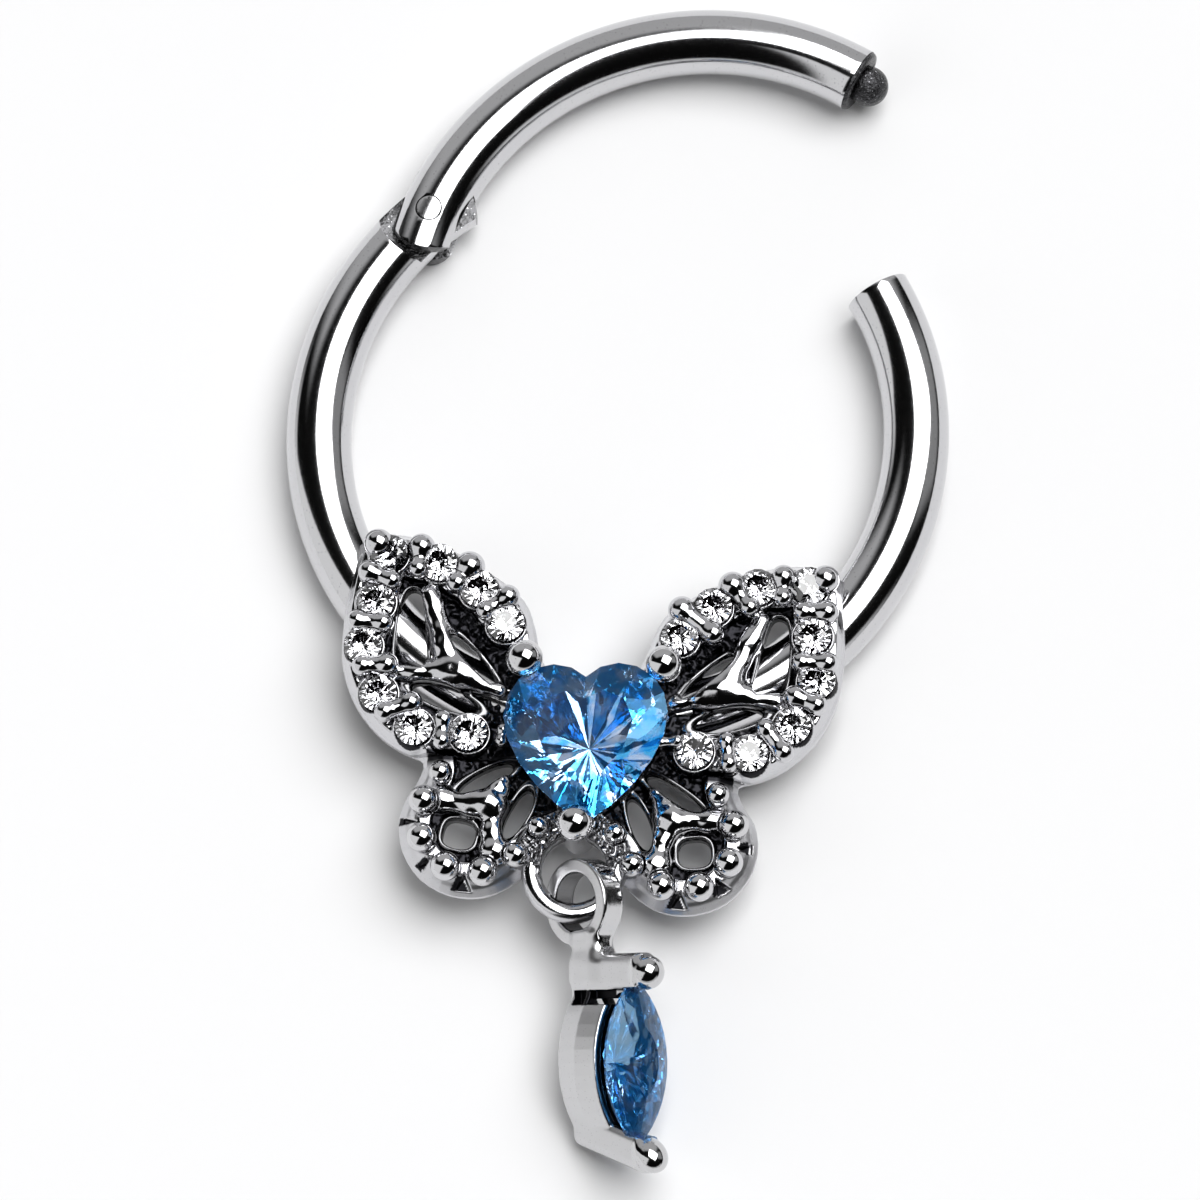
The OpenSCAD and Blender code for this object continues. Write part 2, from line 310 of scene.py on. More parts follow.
def buildPolish(group, start, end):
    # Fine waviness, grain and pits of tumbled and polished metal
    place = group.nodes.new("ShaderNodeTexCoord").outputs["Object"]
    waveScale, grainScale = start.outputs["Wave Scale"], start.outputs["Grain Scale"]
    wave = addNode(group, "ShaderNodeTexNoise", {"Detail": 2.0}, {"Vector": place, "Scale": waveScale})
    grain = addNode(group, "ShaderNodeTexNoise", {"Detail": 3.0, "Roughness": 0.7},
                    {"Vector": place, "Scale": grainScale})
    pits = addNode(group, "ShaderNodeTexVoronoi", links={"Vector": place, "Scale": grainScale})
    spot = addMath(group, "MULTIPLY", pits.outputs["Distance"], start.outputs["Pit Edge"], clamp=True)
    rough = addMath(group, "MULTIPLY_ADD", grain.outputs["Fac"], start.outputs["Roughness Spread"],
                    start.outputs["Roughness"])
    height = addMath(group, "MULTIPLY_ADD", grain.outputs["Fac"], start.outputs["Grain"],
                     wave.outputs["Fac"])
    for title, source in (("Roughness", rough), ("Height", height), ("Pits", spot)):
        group.links.new(source, end.inputs[title])


polishGroup = makeGroup(
    "polish",
    [("Wave Scale", "NodeSocketFloat", 900.0), ("Grain Scale", "NodeSocketFloat", 12000.0),
     ("Grain", "NodeSocketFloat", 0.2), ("Roughness", "NodeSocketFloat", 0.06),
     ("Roughness Spread", "NodeSocketFloat", 0.08), ("Pit Edge", "NodeSocketFloat", 5.0)],
    [("Height", "NodeSocketFloat"), ("Roughness", "NodeSocketFloat"), ("Pits", "NodeSocketFloat")],
    buildPolish)

# Each metal: colour, roughness and its spread, size of the waves and of the grain per metre, the
# grain's share of the height, strength and depth of the bump in metres, and how bright the pits are
finishColumns = ("color", "rough", "spread", "wave", "grain", "grainShare", "bump", "depth", "speck")
metalFinishes = {
    "tubeSteel": ((0.62, 0.62, 0.635), 0.06, 0.09, 500, 9000, 0.3, 0.08, 0.00002, 0.55),
    "castRhodium": ((0.62, 0.62, 0.64), 0.04, 0.08, 1500, 14000, 0.35, 0.14, 0.00002, 0.55),
    "beadRhodium": ((0.63, 0.63, 0.645), 0.04, 0.05, 1200, 9000, 0.2, 0.05, 0.00002, 0.55),
    "dropRhodium": ((0.6, 0.6, 0.61), 0.05, 0.08, 900, 12000, 0.4, 0.1, 0.00002, 0.55),
    "rawSteel": ((0.055, 0.055, 0.058), 0.12, 0.2, 4500, 10000, 0.9, 1.0, 0.00005, 14.0),
    # The cut faces' steel is dark as painted shade for the hinge's deep slots and the socket, with bright
    # grain specks
    "shadedMachinedSteel": ((0.09, 0.09, 0.093), 0.1, 0.2, 4500, 8000, 0.9, 1.0, 0.00003, 9.0),
    "pinSteel": ((0.6, 0.6, 0.61), 0.12, 0.12, 2500, 15000, 0.5, 0.08, 0.00002, 0.55),
}
# Painted shade in the recesses: its dark colour, and how much rougher the recesses and the satin walls are
recessShade = dict(color=(0.013, 0.013, 0.015, 1), matt=0.15, satin=0.22)


def newMaterial(name):
    material = bpy.data.materials.new(name)
    material.use_nodes = True
    return material, material.node_tree, material.node_tree.nodes["Principled BSDF"]


def makeMetal(name, hollows=False):
    finish = dict(zip(finishColumns, metalFinishes[name]))
    material, tree, shader = newMaterial(name)
    shader.inputs["Metallic"].default_value = 1.0
    polish = addNode(tree, "ShaderNodeGroup", {
        "Wave Scale": finish["wave"], "Grain Scale": finish["grain"], "Grain": finish["grainShare"],
        "Roughness": finish["rough"], "Roughness Spread": finish["spread"]}, node_tree=polishGroup)
    bump = addNode(tree, "ShaderNodeBump", {"Strength": finish["bump"], "Distance": finish["depth"]},
                   {"Height": polish.outputs["Height"]})
    tree.links.new(bump.outputs["Normal"], shader.inputs["Normal"])
    pitColor = (*[finish["speck"] * c for c in finish["color"]], 1)
    mix = addNode(tree, "ShaderNodeMix", {"A": pitColor, "B": (*finish["color"], 1)},
                  {"Factor": polish.outputs["Pits"]}, data_type="RGBA")
    color, rough = mix.outputs["Result"], polish.outputs["Roughness"]
    if hollows:
        # Recesses get a dark colour as painted shade, and stay matt where the polishing wheel doesn't
        # reach; outer walls are satin
        deep = addNode(tree, "ShaderNodeAttribute", attribute_name="hollow").outputs["Fac"]
        satin = addNode(tree, "ShaderNodeAttribute", attribute_name="satin").outputs["Fac"]
        color = addNode(tree, "ShaderNodeMix", {"B": recessShade["color"]}, {"Factor": deep, "A": color},
                        data_type="RGBA").outputs["Result"]
        rough = addMath(tree, "MULTIPLY_ADD", deep, recessShade["matt"], rough)
        rough = addMath(tree, "MULTIPLY_ADD", satin, recessShade["satin"], rough)
    tree.links.new(color, shader.inputs["Base Color"])
    tree.links.new(rough, shader.inputs["Roughness"])
    return material


stoneFinishes = {
    "clearZirconia": dict(color=(0.78, 0.785, 0.82), ior=2.15, veil=0.3, clear=1.0),
    "azureHeart": dict(color=(0.016, 0.38, 1.0), ior=1.7, veil=0.95, clear=0.95, glare=(0.2, 0.6, 1.0),
                       chips=0.000002, glow=(-0.35, -8.08, 3.2)),
    "azureDrop": dict(color=(0.04, 0.36, 0.9), ior=1.6, veil=0.5, clear=0.94, glare=(0.5, 0.8, 1.0),
                      chips=0.000008),
}
# Sizes of the veils and chips per metre, where the noise counts as a veil, how white a veil is, and
# the radii of the glow in metres
stoneWear = dict(veilScale=1800.0, veilFrom=0.48, veilTo=0.6, white=0.6, chipScale=3600.0,
                 glowEdge=0.0015, glowCore=0.0007)


def makeStone(name):
    finish, wear = stoneFinishes[name], stoneWear
    material, tree, shader = newMaterial(name)
    shader.inputs["Roughness"].default_value = 0.0
    shader.inputs["IOR"].default_value = finish["ior"]
    shader.inputs["Transmission Weight"].default_value = finish["clear"]
    shader.inputs["Specular Tint"].default_value = (*finish.get("glare", (1, 1, 1)), 1)
    # Faint cloudy veils inside the stone
    place = tree.nodes.new("ShaderNodeTexCoord").outputs["Object"]
    veil = addNode(tree, "ShaderNodeTexNoise", {"Scale": wear["veilScale"], "Detail": 4.0},
                   {"Vector": place}).outputs["Fac"]
    ramp = addNode(tree, "ShaderNodeMapRange", {
        "From Min": wear["veilFrom"], "From Max": wear["veilTo"], "To Max": finish["veil"]},
        {"Value": veil})
    share = ramp.outputs["Result"]
    if "glow" in finish:
        # The veils gather in one pale patch under the table
        away = addNode(tree, "ShaderNodeVectorMath", operation="DISTANCE")
        tree.links.new(place, away.inputs[0])
        away.inputs[1].default_value = [v * mm for v in finish["glow"]]
        patch = addNode(tree, "ShaderNodeMapRange", {
            "From Min": wear["glowEdge"], "From Max": wear["glowCore"]}, {"Value": away.outputs["Value"]})
        share = addMath(tree, "MULTIPLY_ADD", patch.outputs["Result"], veil, share, clamp=True)
    pale = [wear["white"] + (1 - wear["white"]) * c for c in finish["color"]]
    mix = addNode(tree, "ShaderNodeMix", {"A": (*finish["color"], 1), "B": (*pale, 1)}, {"Factor": share},
                  data_type="RGBA")
    tree.links.new(mix.outputs["Result"], shader.inputs["Base Color"])
    if "chips" in finish:
        # Small chips and worn facet edges
        chips = addNode(tree, "ShaderNodeTexVoronoi", {"Scale": wear["chipScale"]}, {"Vector": place})
        bump = addNode(tree, "ShaderNodeBump", {"Distance": finish["chips"]},
                       {"Height": chips.outputs["Distance"]})
        tree.links.new(bump.outputs["Normal"], shader.inputs["Normal"])
    return material


tubeSteel = makeMetal("tubeSteel")
castRhodium = makeMetal("castRhodium", hollows=True)
beadRhodium = makeMetal("beadRhodium")
dropRhodium = makeMetal("dropRhodium", hollows=True)
rawSteel = makeMetal("rawSteel")
shadedMachinedSteel = makeMetal("shadedMachinedSteel")
pinSteel = makeMetal("pinSteel")
clearZirconia = makeStone("clearZirconia")
azureHeart = makeStone("azureHeart")
azureDrop = makeStone("azureDrop")
print("materials made")


# Geometry Nodes

def makeTree(name, inputs):
    tree = bpy.data.node_groups.new(name, "GeometryNodeTree")
    tree.interface.new_socket(name="Geometry", in_out="INPUT", socket_type="NodeSocketGeometry")
    for title, kind, value in inputs:
        socket = tree.interface.new_socket(name=title, in_out="INPUT", socket_type=kind)
        if value is not None:
            socket.default_value = value
    tree.interface.new_socket(name="Geometry", in_out="OUTPUT", socket_type="NodeSocketGeometry")
    return tree, tree.nodes.new("NodeGroupInput"), tree.nodes.new("NodeGroupOutput")


def runTree(obj, tree, values):
    modifier = obj.modifiers.new(tree.name, "NODES")
    modifier.node_group = tree
    for item in tree.interface.items_tree:
        if item.item_type == "SOCKET" and item.in_out == "INPUT" and item.name in values:
            modifier[item.identifier] = values[item.name]
    applyModifiers(obj)


def endTree(tree, geometry, start, end, smooth):
    real = addNode(tree, "GeometryNodeRealizeInstances", links={"Geometry": geometry})
    shade = addNode(tree, "GeometryNodeSetShadeSmooth", links={"Geometry": real.outputs[0]})
    if isinstance(smooth, bool):
        shade.inputs["Shade Smooth"].default_value = smooth
    else:
        tree.links.new(smooth, shade.inputs["Shade Smooth"])
    paint = addNode(tree, "GeometryNodeSetMaterial",
                    links={"Geometry": shade.outputs[0], "Material": start.outputs["Material"]})
    tree.links.new(paint.outputs[0], end.inputs[0])
    return tree


def readAttribute(tree, title, kind):
    node = addNode(tree, "GeometryNodeInputNamedAttribute", {"Name": title}, data_type=kind)
    return node.outputs["Attribute"]


def tubeTree():
    # A round tube bent to an arc about the origin
    tree, start, end = makeTree("tubeArc", [
        ("Ring Radius", "NodeSocketFloat", ringMiddle), ("Tube Radius", "NodeSocketFloat", tubeRadius),
        ("From Angle", "NodeSocketFloat", 0.0), ("Sweep", "NodeSocketFloat", 3.0),
        ("Steps", "NodeSocketInt", 200), ("Sides", "NodeSocketInt", 96),
        ("Material", "NodeSocketMaterial", None)])
    given = start.outputs
    arc = addNode(tree, "GeometryNodeCurveArc", links={
        "Resolution": given["Steps"], "Radius": given["Ring Radius"],
        "Start Angle": given["From Angle"], "Sweep Angle": given["Sweep"]})
    ring = addNode(tree, "GeometryNodeCurvePrimitiveCircle",
                   links={"Resolution": given["Sides"], "Radius": given["Tube Radius"]})
    sweep = addNode(tree, "GeometryNodeCurveToMesh", {"Fill Caps": True},
                    {"Curve": arc.outputs["Curve"], "Profile Curve": ring.outputs["Curve"]})
    return endTree(tree, sweep.outputs[0], start, end, True)


def beadTree():
    # A ball on every point, as large as the point's own size says
    tree, start, end = makeTree("beads", [
        ("Segments", "NodeSocketInt", 32), ("Rings", "NodeSocketInt", 20),
        ("Material", "NodeSocketMaterial", None)])
    ball = addNode(tree, "GeometryNodeMeshUVSphere", {"Radius": 1.0},
                   {"Segments": start.outputs["Segments"], "Rings": start.outputs["Rings"]})
    put = addNode(tree, "GeometryNodeInstanceOnPoints", links={
        "Points": start.outputs["Geometry"], "Instance": ball.outputs["Mesh"],
        "Scale": readAttribute(tree, "size", "FLOAT")})
    return endTree(tree, put.outputs[0], start, end, True)


def copyTree():
    # A copy of one object on every point, turned and scaled by the point's own values
    tree, start, end = makeTree("copies", [
        ("Pattern", "NodeSocketObject", None), ("Smooth", "NodeSocketBool", True),
        ("Material", "NodeSocketMaterial", None)])
    info = addNode(tree, "GeometryNodeObjectInfo", links={"Object": start.outputs["Pattern"]})
    put = addNode(tree, "GeometryNodeInstanceOnPoints", links={
        "Points": start.outputs["Geometry"], "Instance": info.outputs["Geometry"],
        "Rotation": readAttribute(tree, "turn", "FLOAT_VECTOR"),
        "Scale": readAttribute(tree, "size", "FLOAT")})
    return endTree(tree, put.outputs[0], start, end, start.outputs["Smooth"])


arcTree, ballTree, patternTree = tubeTree(), beadTree(), copyTree()


def pointCloud(name, places, sizes, turns=None):
    # Points for a tree to work on, with the values that it reads
    obj = newMesh(name, places, [])
    markPoints(obj, size=sizes)
    if turns is not None:
        turn = obj.data.attributes.new("turn", "FLOAT_VECTOR", "POINT")
        turn.data.foreach_set("vector", np.array(turns, np.float32).ravel())
    return obj


# Ring tube, hinge and catch

# The fork's end is a circle about the pin. The slot, the shoulder and the tongue's end are circles
# about it too, each with its own gap, and the tubes are drawn a little too long before they are cut
hinge = dict(pinAngle=134.5, pinRadius=0.3, boreRadius=0.33, holeGap=0.04, openAngle=28.0, forkTail=0.6,
             slotGap=0.16, shoulderGap=0.26, tongueGap=0.03, tongueHalf=0.25, runGap=0.03,
             tongueSpare=0.1, gateSpare=1.3, pinTrim=8, edge=0.02)
# The socket and the rim are lists of (radius, height): the socket's radius is added to the ball's,
# and the rim's is taken from the tube's
catch = dict(endAngle=34.6, ballRadius=0.5, ballOut=0.24, ballSteps=28, neck=0.4, neckFoot=0.05,
             rim=0.12, shutGap=0.06, socketDepth=0.86,
             socket=[(0.24, -0.3), (0.2, 0.0), (0.04, 0.2), (0.04, 0.7)],
             rimShape=[(0.03, -0.02), (0.015, 0.0), (0.02, 0.05), (0.06, 0.1), (0.14, 0.12), (0.24, 0.1),
                       (0.36, 0.1)])
# The block that a round end is cut with, measured from the pin
endBlock = dict(fan=78, fanStep=4, near=0.2, far=2.5, side=1.7, low=-0.5, high=2.5)
under, over = -1.0, 3.0  # heights well clear of the tube, where the upright cutters end

pinX, pinY = (ringMiddle * v for v in direction(hinge["pinAngle"]))
forkRadius = math.hypot(hinge["forkTail"], tubeRadius)
slotRadius = forkRadius + hinge["slotGap"]
shoulderRadius = forkRadius + hinge["shoulderGap"]
tongueReach = 2 * math.degrees(math.asin((slotRadius + hinge["tongueSpare"]) / 2 / ringMiddle))


def tubeArc(name, fromAngle, toAngle, sides=96, stepsPerDegree=1.1, spareSteps=8):
    obj = newMesh(name, [(0, 0, 0)], [])
    runTree(obj, arcTree, {
        "Ring Radius": ringMiddle, "Tube Radius": tubeRadius,
        "From Angle": math.radians(fromAngle), "Sweep": math.radians(toAngle - fromAngle),
        "Steps": int(abs(toAngle - fromAngle) * stepsPerDegree) + spareSteps, "Sides": sides,
        "Material": tubeSteel})
    obj.data.transform(Matrix.Translation((0, 0, tubeRadius)))
    return weld(obj)


def weld(obj, distance=1e-4):
    tool = bmesh.new()
    tool.from_mesh(obj.data)
    bmesh.ops.remove_doubles(tool, verts=tool.verts, dist=distance)
    bmesh.ops.recalc_face_normals(tool, faces=tool.faces)
    tool.to_mesh(obj.data)
    tool.free()
    return obj


def pinDrum(name, radius, low, high, sides=96):
    # An upright cylinder on the pin's axis
    tool = bmesh.new()
    bmesh.ops.create_cone(tool, cap_ends=True, segments=sides, radius1=radius, radius2=radius,
                          depth=high - low)
    mesh = bpy.data.meshes.new(name)
    tool.to_mesh(mesh)
    tool.free()
    obj = bpy.data.objects.new(name, mesh)
    bpy.context.scene.collection.objects.link(obj)
    mesh.transform(Matrix.Translation((pinX, pinY, (low + high) / 2)))
    return obj


def lathe(name, profile, sides=64):
    # Turns a list of (radius, height) about the z axis
    points = [(x, y, h) for r, h in profile for x, y in circleOutline(r, sides)]
    faces = []
    for i in range(len(profile) - 1):
        first, second = i * sides, (i + 1) * sides
        for k in range(sides):
            j = (k + 1) % sides
            faces.append((first + k, first + j, second + j, second + k))
    return weld(newMesh(name, points, faces), distance=1e-5)


def cutAway(obj, tools, operation="DIFFERENCE"):
    for tool in tools:
        modifier = obj.modifiers.new("cut", "BOOLEAN")
        modifier.operation = operation
        modifier.solver = "EXACT"
        modifier.object = tool
    applyModifiers(obj)
    for tool in tools:
        removeObject(tool)


def softenEdges(obj, width, angle=35):
    weld(obj, distance=2e-4)
    modifier = obj.modifiers.new("edges", "BEVEL")
    modifier.width = width
    modifier.segments = 2
    modifier.limit_method = "ANGLE"
    modifier.angle_limit = math.radians(angle)
    applyModifiers(obj)


def alongTube(angle):
    # Takes the z axis to the tube's middle line at an angle round the ring, towards smaller angles
    c, s = direction(angle)
    return (Matrix.Translation((ringMiddle * c, ringMiddle * s, tubeRadius))
            @ Matrix.Rotation(math.radians(angle), 4, "Z") @ Matrix.Rotation(math.radians(90), 4, "X"))


def roundEnd(radius, turn):
    # All that lies past the pin on one side and outside a round end, as one upright block
    e = endBlock
    arc = [direction(a) for a in range(-e["fan"], e["fan"] + 1, e["fanStep"])]
    flat = [(radius * c, radius * s) for c, s in arc]
    flat += [(e["near"], e["side"]), (e["far"], e["side"]), (e["far"], -e["side"]), (e["near"], -e["side"])]
    n = len(flat)
    points = [(t, s, z) for z in (e["low"], e["high"]) for t, s in flat]
    faces = [tuple(range(n - 1, -1, -1)), tuple(range(n, 2 * n))]
    faces += [(k, (k + 1) % n, n + (k + 1) % n, n + k) for k in range(n)]
    obj = newMesh("past_end", points, faces, smooth=False)
    obj.data.transform(Matrix.Translation((pinX, pinY, 0))
                       @ Matrix.Rotation(math.radians(hinge["pinAngle"] + turn), 4, "Z"))
    return weld(obj)


def openTurn(unit=1.0):
    # The gate's turn about the pin from closed to the rest pose, for a mesh in the given unit
    x, y = pinX * unit, pinY * unit
    return (Matrix.Translation((x, y, 0)) @ Matrix.Rotation(math.radians(hinge["openAngle"]), 4, "Z")
            @ Matrix.Translation((-x, -y, 0)))


def fixedArc():
    obj = tubeArc("ring_tube", hinge["pinAngle"] - tongueReach, 360 + catch["endAngle"])
    low, high = tubeRadius - hinge["tongueHalf"], tubeRadius + hinge["tongueHalf"]
    socket = [(catch["ballRadius"] + r, h) for r, h in catch["socket"]]
    mouth = lathe("mouth", [(0, socket[0][1])] + socket + [(0, catch["socketDepth"])])
    mouth.data.transform(alongTube(catch["endAngle"]))
    cutAway(obj, [pinDrum("below_tongue", shoulderRadius, under, low),
                  pinDrum("above_tongue", shoulderRadius, high, over),
                  roundEnd(slotRadius - hinge["tongueGap"], -90),
                  pinDrum("tongue_hole", hinge["pinRadius"] + hinge["holeGap"], under, over), mouth])
    softenEdges(obj, hinge["edge"])
    # Cut faces get the dark steel, painted shade for the tongue's slot, the shoulder and the socket
    finishPiece(obj, tubeSteel, "ring", sharpAngle=45, cutMaterial=shadedMachinedSteel)


def gateArc():
    face = catch["endAngle"] + math.degrees(catch["shutGap"] / ringMiddle)
    end = face + math.degrees(catch["rim"] / ringMiddle)
    obj = tubeArc("gate_tube", end, hinge["pinAngle"] + math.degrees(hinge["gateSpare"] / ringMiddle))
    low = tubeRadius - hinge["tongueHalf"] - hinge["runGap"]
    high = tubeRadius + hinge["tongueHalf"] + hinge["runGap"]
    cutAway(obj, [roundEnd(forkRadius, 90), pinDrum("slot", slotRadius, low, high),
                  pinDrum("bore", hinge["boreRadius"], under, over)])
    softenEdges(obj, hinge["edge"])
    # The cut faces, painted dark as shade, are told from the tube's own in its closed place, so the gate
    # opens after that
    finishPiece(obj, tubeSteel, "gate", ["gate_arc"], sharpAngle=45,
                cutMaterial=shadedMachinedSteel)
    obj.data.transform(openTurn(mm))
    for part in (gateRim(), catchBall()):
        part.data.transform(alongTube(end))
        part.data.transform(openTurn())
        finishPiece(part, rawSteel, "gate", sharpAngle=50)


def gateRim():
    # The thin rim round the turned-down end
    shape = [(tubeRadius - r, h) for r, h in catch["rimShape"]]
    return lathe("gate_end_rim", [(0, shape[0][1])] + shape + [(0, shape[-1][1])], sides=96)


def catchBall():
    # The ball on its neck, which snaps into the socket
    radius, neck, steps = catch["ballRadius"], catch["neck"], catch["ballSteps"]
    middle = catch["rim"] + catch["ballOut"] - catch["shutGap"]
    first = math.asin(neck / radius)
    profile = [(0, catch["neckFoot"]), (neck, catch["neckFoot"])]
    for k in range(steps + 1):
        a = first + (math.pi - first) * k / steps
        profile.append((radius * math.sin(a), middle - radius * math.cos(a)))
    return lathe("catch_ball", profile)


def hingePin():
    # A riveted pin, its two ends dressed to the tube's own surface
    obj = pinDrum("pin_rivet", hinge["pinRadius"], under, over, sides=64)
    trim = tubeArc("trim", hinge["pinAngle"] - hinge["pinTrim"], hinge["pinAngle"] + hinge["pinTrim"])
    cutAway(obj, [trim], "INTERSECT")
    softenEdges(obj, hinge["edge"])
    obj.data.transform(openTurn())
    finishPiece(obj, pinSteel, "gate", ["hinge_pin"], sharpAngle=40)


fixedArc()
gateArc()
hingePin()
print("ring, gate and pin made")


# Butterfly casting, measured from the heart's centre

butterfly = dict(
    stones=[(2.11, 2.98), (2.84, 3.79), (3.86, 4.36), (5.10, 4.50), (5.29, 3.26), (5.49, 2.16),
            (5.00, 1.00), (4.05, 0.23), (2.72, 0.20)],
    # x, y and size of the lower wing's beads
    beads=[(3.34, -0.80, 0.8), (3.74, -1.52, 1), (3.69, -2.44, 1), (3.05, -3.10, 1),
           (2.15, -3.15, 1), (1.40, -2.68, 0.85), (0.92, -1.95, 0.75)],
    wingEdge=[(0.70, 1.55), (1.25, 2.40), (1.45, 3.08), (1.78, 3.72), (2.50, 4.25), (3.50, 4.78),
              (4.55, 5.08), (5.60, 5.06), (5.90, 4.50), (6.03, 3.50), (6.06, 2.50), (5.96, 1.65),
              (5.56, 0.78), (4.94, 0.10), (4.30, -0.27), (3.80, -0.46), (3.92, -0.92), (4.20, -1.38),
              (4.32, -2.00), (4.16, -2.70), (3.68, -3.32), (2.95, -3.66), (2.20, -3.66), (1.60, -3.38),
              (1.05, -2.88), (0.60, -2.35), (-0.20, -2.10), (-0.20, 1.00)],
    # Oval openings: x, y, half length, half width, turn in degrees, fullness
    openings=[(2.85, 2.12, 0.84, 0.18, 45, 1), (3.44, 1.12, 0.82, 0.25, 16, 1),
              (2.28, -0.82, 0.74, 0.2, -31, 1.1), (1.47, -1.60, 0.64, 0.22, -66, 1.1),
              (2.84, -2.22, 0.385, 0.345, 8, 1.4)],
    # The long opening that follows the outer stones
    pocket=[(3.98, 1.84), (4.40, 1.80), (4.70, 1.98), (4.74, 2.80), (4.66, 3.56), (4.46, 3.76),
            (4.24, 3.60), (4.08, 2.80)],
    # Both ends of each arm, then its radius at each end
    arms=[(3.34, 1.98, 4.02, 3.60, 0.37, 0.23), (3.20, 1.76, 4.56, 1.64, 0.34, 0.21),
          (3.10, 1.72, 2.10, 1.36, 0.31, 0.17), (2.20, -1.48, 3.40, -1.42, 0.32, 0.27),
          (2.20, -1.48, 1.86, -0.86, 0.28, 0.22), (2.14, -1.50, 1.96, -2.60, 0.27, 0.25)],
    # x, y and three half widths of the lumps where arms meet
    blobs=[(3.14, 1.80, 0.7, 0.52, 0.37), (2.18, -1.46, 0.44, 0.42, 0.36), (1.95, -2.6, 0.38, 0.36, 0.32)],
    # x, y, turn, then how wide the wedge is on the left and on the right wing
    notches=[(2.60, -3.42, -90, 1.0, 1.0), (3.55, -3.00, -50, 0.45, 1.0), (4.06, -2.00, 8, 0.4, 0.7)],
    low=1.2, recess=1.58, girdle=2.1, stoneRadius=0.46, stoneSides=16, beadRadius=0.36, beadHeight=1.95,
    beadSegments=40, beadRings=24, waist=-0.3, shift=0.1, shiftRun=1.2, seam=-0.34, seamLap=0.02,
    midLap=0.02)
# Prongs between the stones of the left (-1) and right (1) wing: x, y and radius of the outer ball,
# then of the inner one
prongs = {
    -1: [(4.33, 4.72, 0.31, 4.35, 4.16, 0.24), (3.12, 4.34, 0.35, 3.38, 3.88, 0.25),
         (2.12, 3.64, 0.28, 2.62, 3.24, 0.22), (5.52, 4.00, 0.27, 4.96, 3.82, 0.24),
         (5.68, 2.76, 0.26, 5.06, 2.74, 0.24), (5.44, 1.64, 0.24, 4.86, 1.72, 0.27),
         (4.78, 0.54, 0.24, 4.18, 0.82, 0.27), (3.34, -0.06, 0.21, 3.36, 0.46, 0.22),
         (5.38, 4.74, 0.33, 5.40, 4.76, 0.30), (1.88, 0.30, 0.14, 1.90, 0.02, 0.13)],
    1: [(4.46, 4.66, 0.29, 4.50, 4.14, 0.22), (3.26, 4.36, 0.33, 3.72, 3.84, 0.24),
        (2.10, 3.66, 0.32, 2.90, 3.12, 0.28), (5.58, 3.88, 0.27, 5.02, 3.84, 0.24),
        (5.70, 2.62, 0.26, 5.08, 2.58, 0.23), (5.54, 1.56, 0.25, 5.02, 1.72, 0.27),
        (4.86, 0.34, 0.25, 4.38, 0.88, 0.23), (3.58, -0.06, 0.21, 3.48, 0.48, 0.21),
        (5.48, 4.70, 0.32, 5.46, 4.72, 0.30), (2.30, 0.36, 0.14, 1.92, 0.30, 0.12)]}
prongShape = dict(top=2.36, swell=1.07, waist=0.86, sag=0.02, soft=0.07, join=0.05)
# Raised parts of the casting: reach in plan, top above the floor, edge rounding, softness of the join
relief = dict(ridge=(0.44, 1.84, 0.12, 0.08), bezel=(0.52, 1.98, 0.05, 0.04),
              outerWall=(0.36, 1.9, 0.04, 0.04), flange=(0.78, 1.8, 0.06, 0.06),
              root=(0.42, 1.9, 0.08, 0.1), collet=(0, 2.34, 0.06, 0.08))
# The outer wall leans in above its foot, in the lower wings (first) more than in the upper
wallLean = dict(foot=(1.34, 1.5), slope=(0.92, 0.45), share=(0.74, 0.91))
plateShape = dict(lump=0.05, lumpInset=0.25, lumpFade=0.2, edge=0.06, gapEdge=0.04, rimAt=0.05,
                  rimRadius=0.055, rimSoft=0.05, gapSoft=0.07)
armShape = dict(height=1.78, flat=1.25, swell=1.02, wave=0.1, waveRate=9.5, wavePhase=1.9, soft=0.12,
                blobHeight=1.74, blobSoft=0.14, skin=0.025, skinStretch=0.45)
seatShape = dict(radius=0.475, top=1.94, slope=1.1, share=0.7, floor=1.5, soft=0.02, moat=0.03,
                 cupSoft=0.03)
rootShape = dict(limit=-2.9, lump=0.1, clear=0.03)
notchShape = dict(start=0.24, end=0.14, spread=0.45, steep=0.87, floor=1.36)
# The corners that hold an upper and a lower wing, and the grid's steps
wingBox = {True: ((-0.1, butterfly["seam"] - 0.1, 1.1), (6.25, 5.3, 2.45), 0.034),
           False: ((-0.1, -4.0, 1.1), (4.6, butterfly["seam"] + 0.1, 2.45), 0.032)}

heartHalf = [(0.00, 1.60), (0.35, 1.84), (0.78, 1.93), (1.22, 1.84), (1.62, 1.58), (1.88, 1.18),
             (1.98, 0.68), (1.88, 0.12), (1.60, -0.46), (1.18, -1.03), (0.68, -1.52), (0.22, -1.86),
             (0.00, -1.94)]
heartOutline = heartHalf + [(-x, y) for x, y in heartHalf[-2:0:-1]]
# The heart sits a little to the right, turned and leaning. The collet and the cup are shares of it
heartSeat = dict(x=0.17, turn=5.0, lean=-3.6, collet=0.88, cup=0.79)
tailLoop = dict(x=0.1, y=heartY - 2.87, z=1.59, halfWide=1.02, halfLong=1.05, wire=0.25)


def seatOutline(scale):
    c, s = direction(heartSeat["turn"])
    return [(heartSeat["x"] + scale * (c * x - s * y), scale * (s * x + c * y)) for x, y in heartOutline]


wingOutline = smoothCurve(butterfly["wingEdge"])
pocketOutline = smoothCurve(butterfly["pocket"])
colletOutline, cupOutline = seatOutline(heartSeat["collet"]), seatOutline(heartSeat["cup"])


def lowerShift(y):
    # The lower wings sit a little to the right, more and more from the waist down
    b = butterfly
    low = np.clip((b["waist"] - y) / b["shiftRun"], 0, 1)
    return b["shift"] * low * low * (3 - 2 * low)


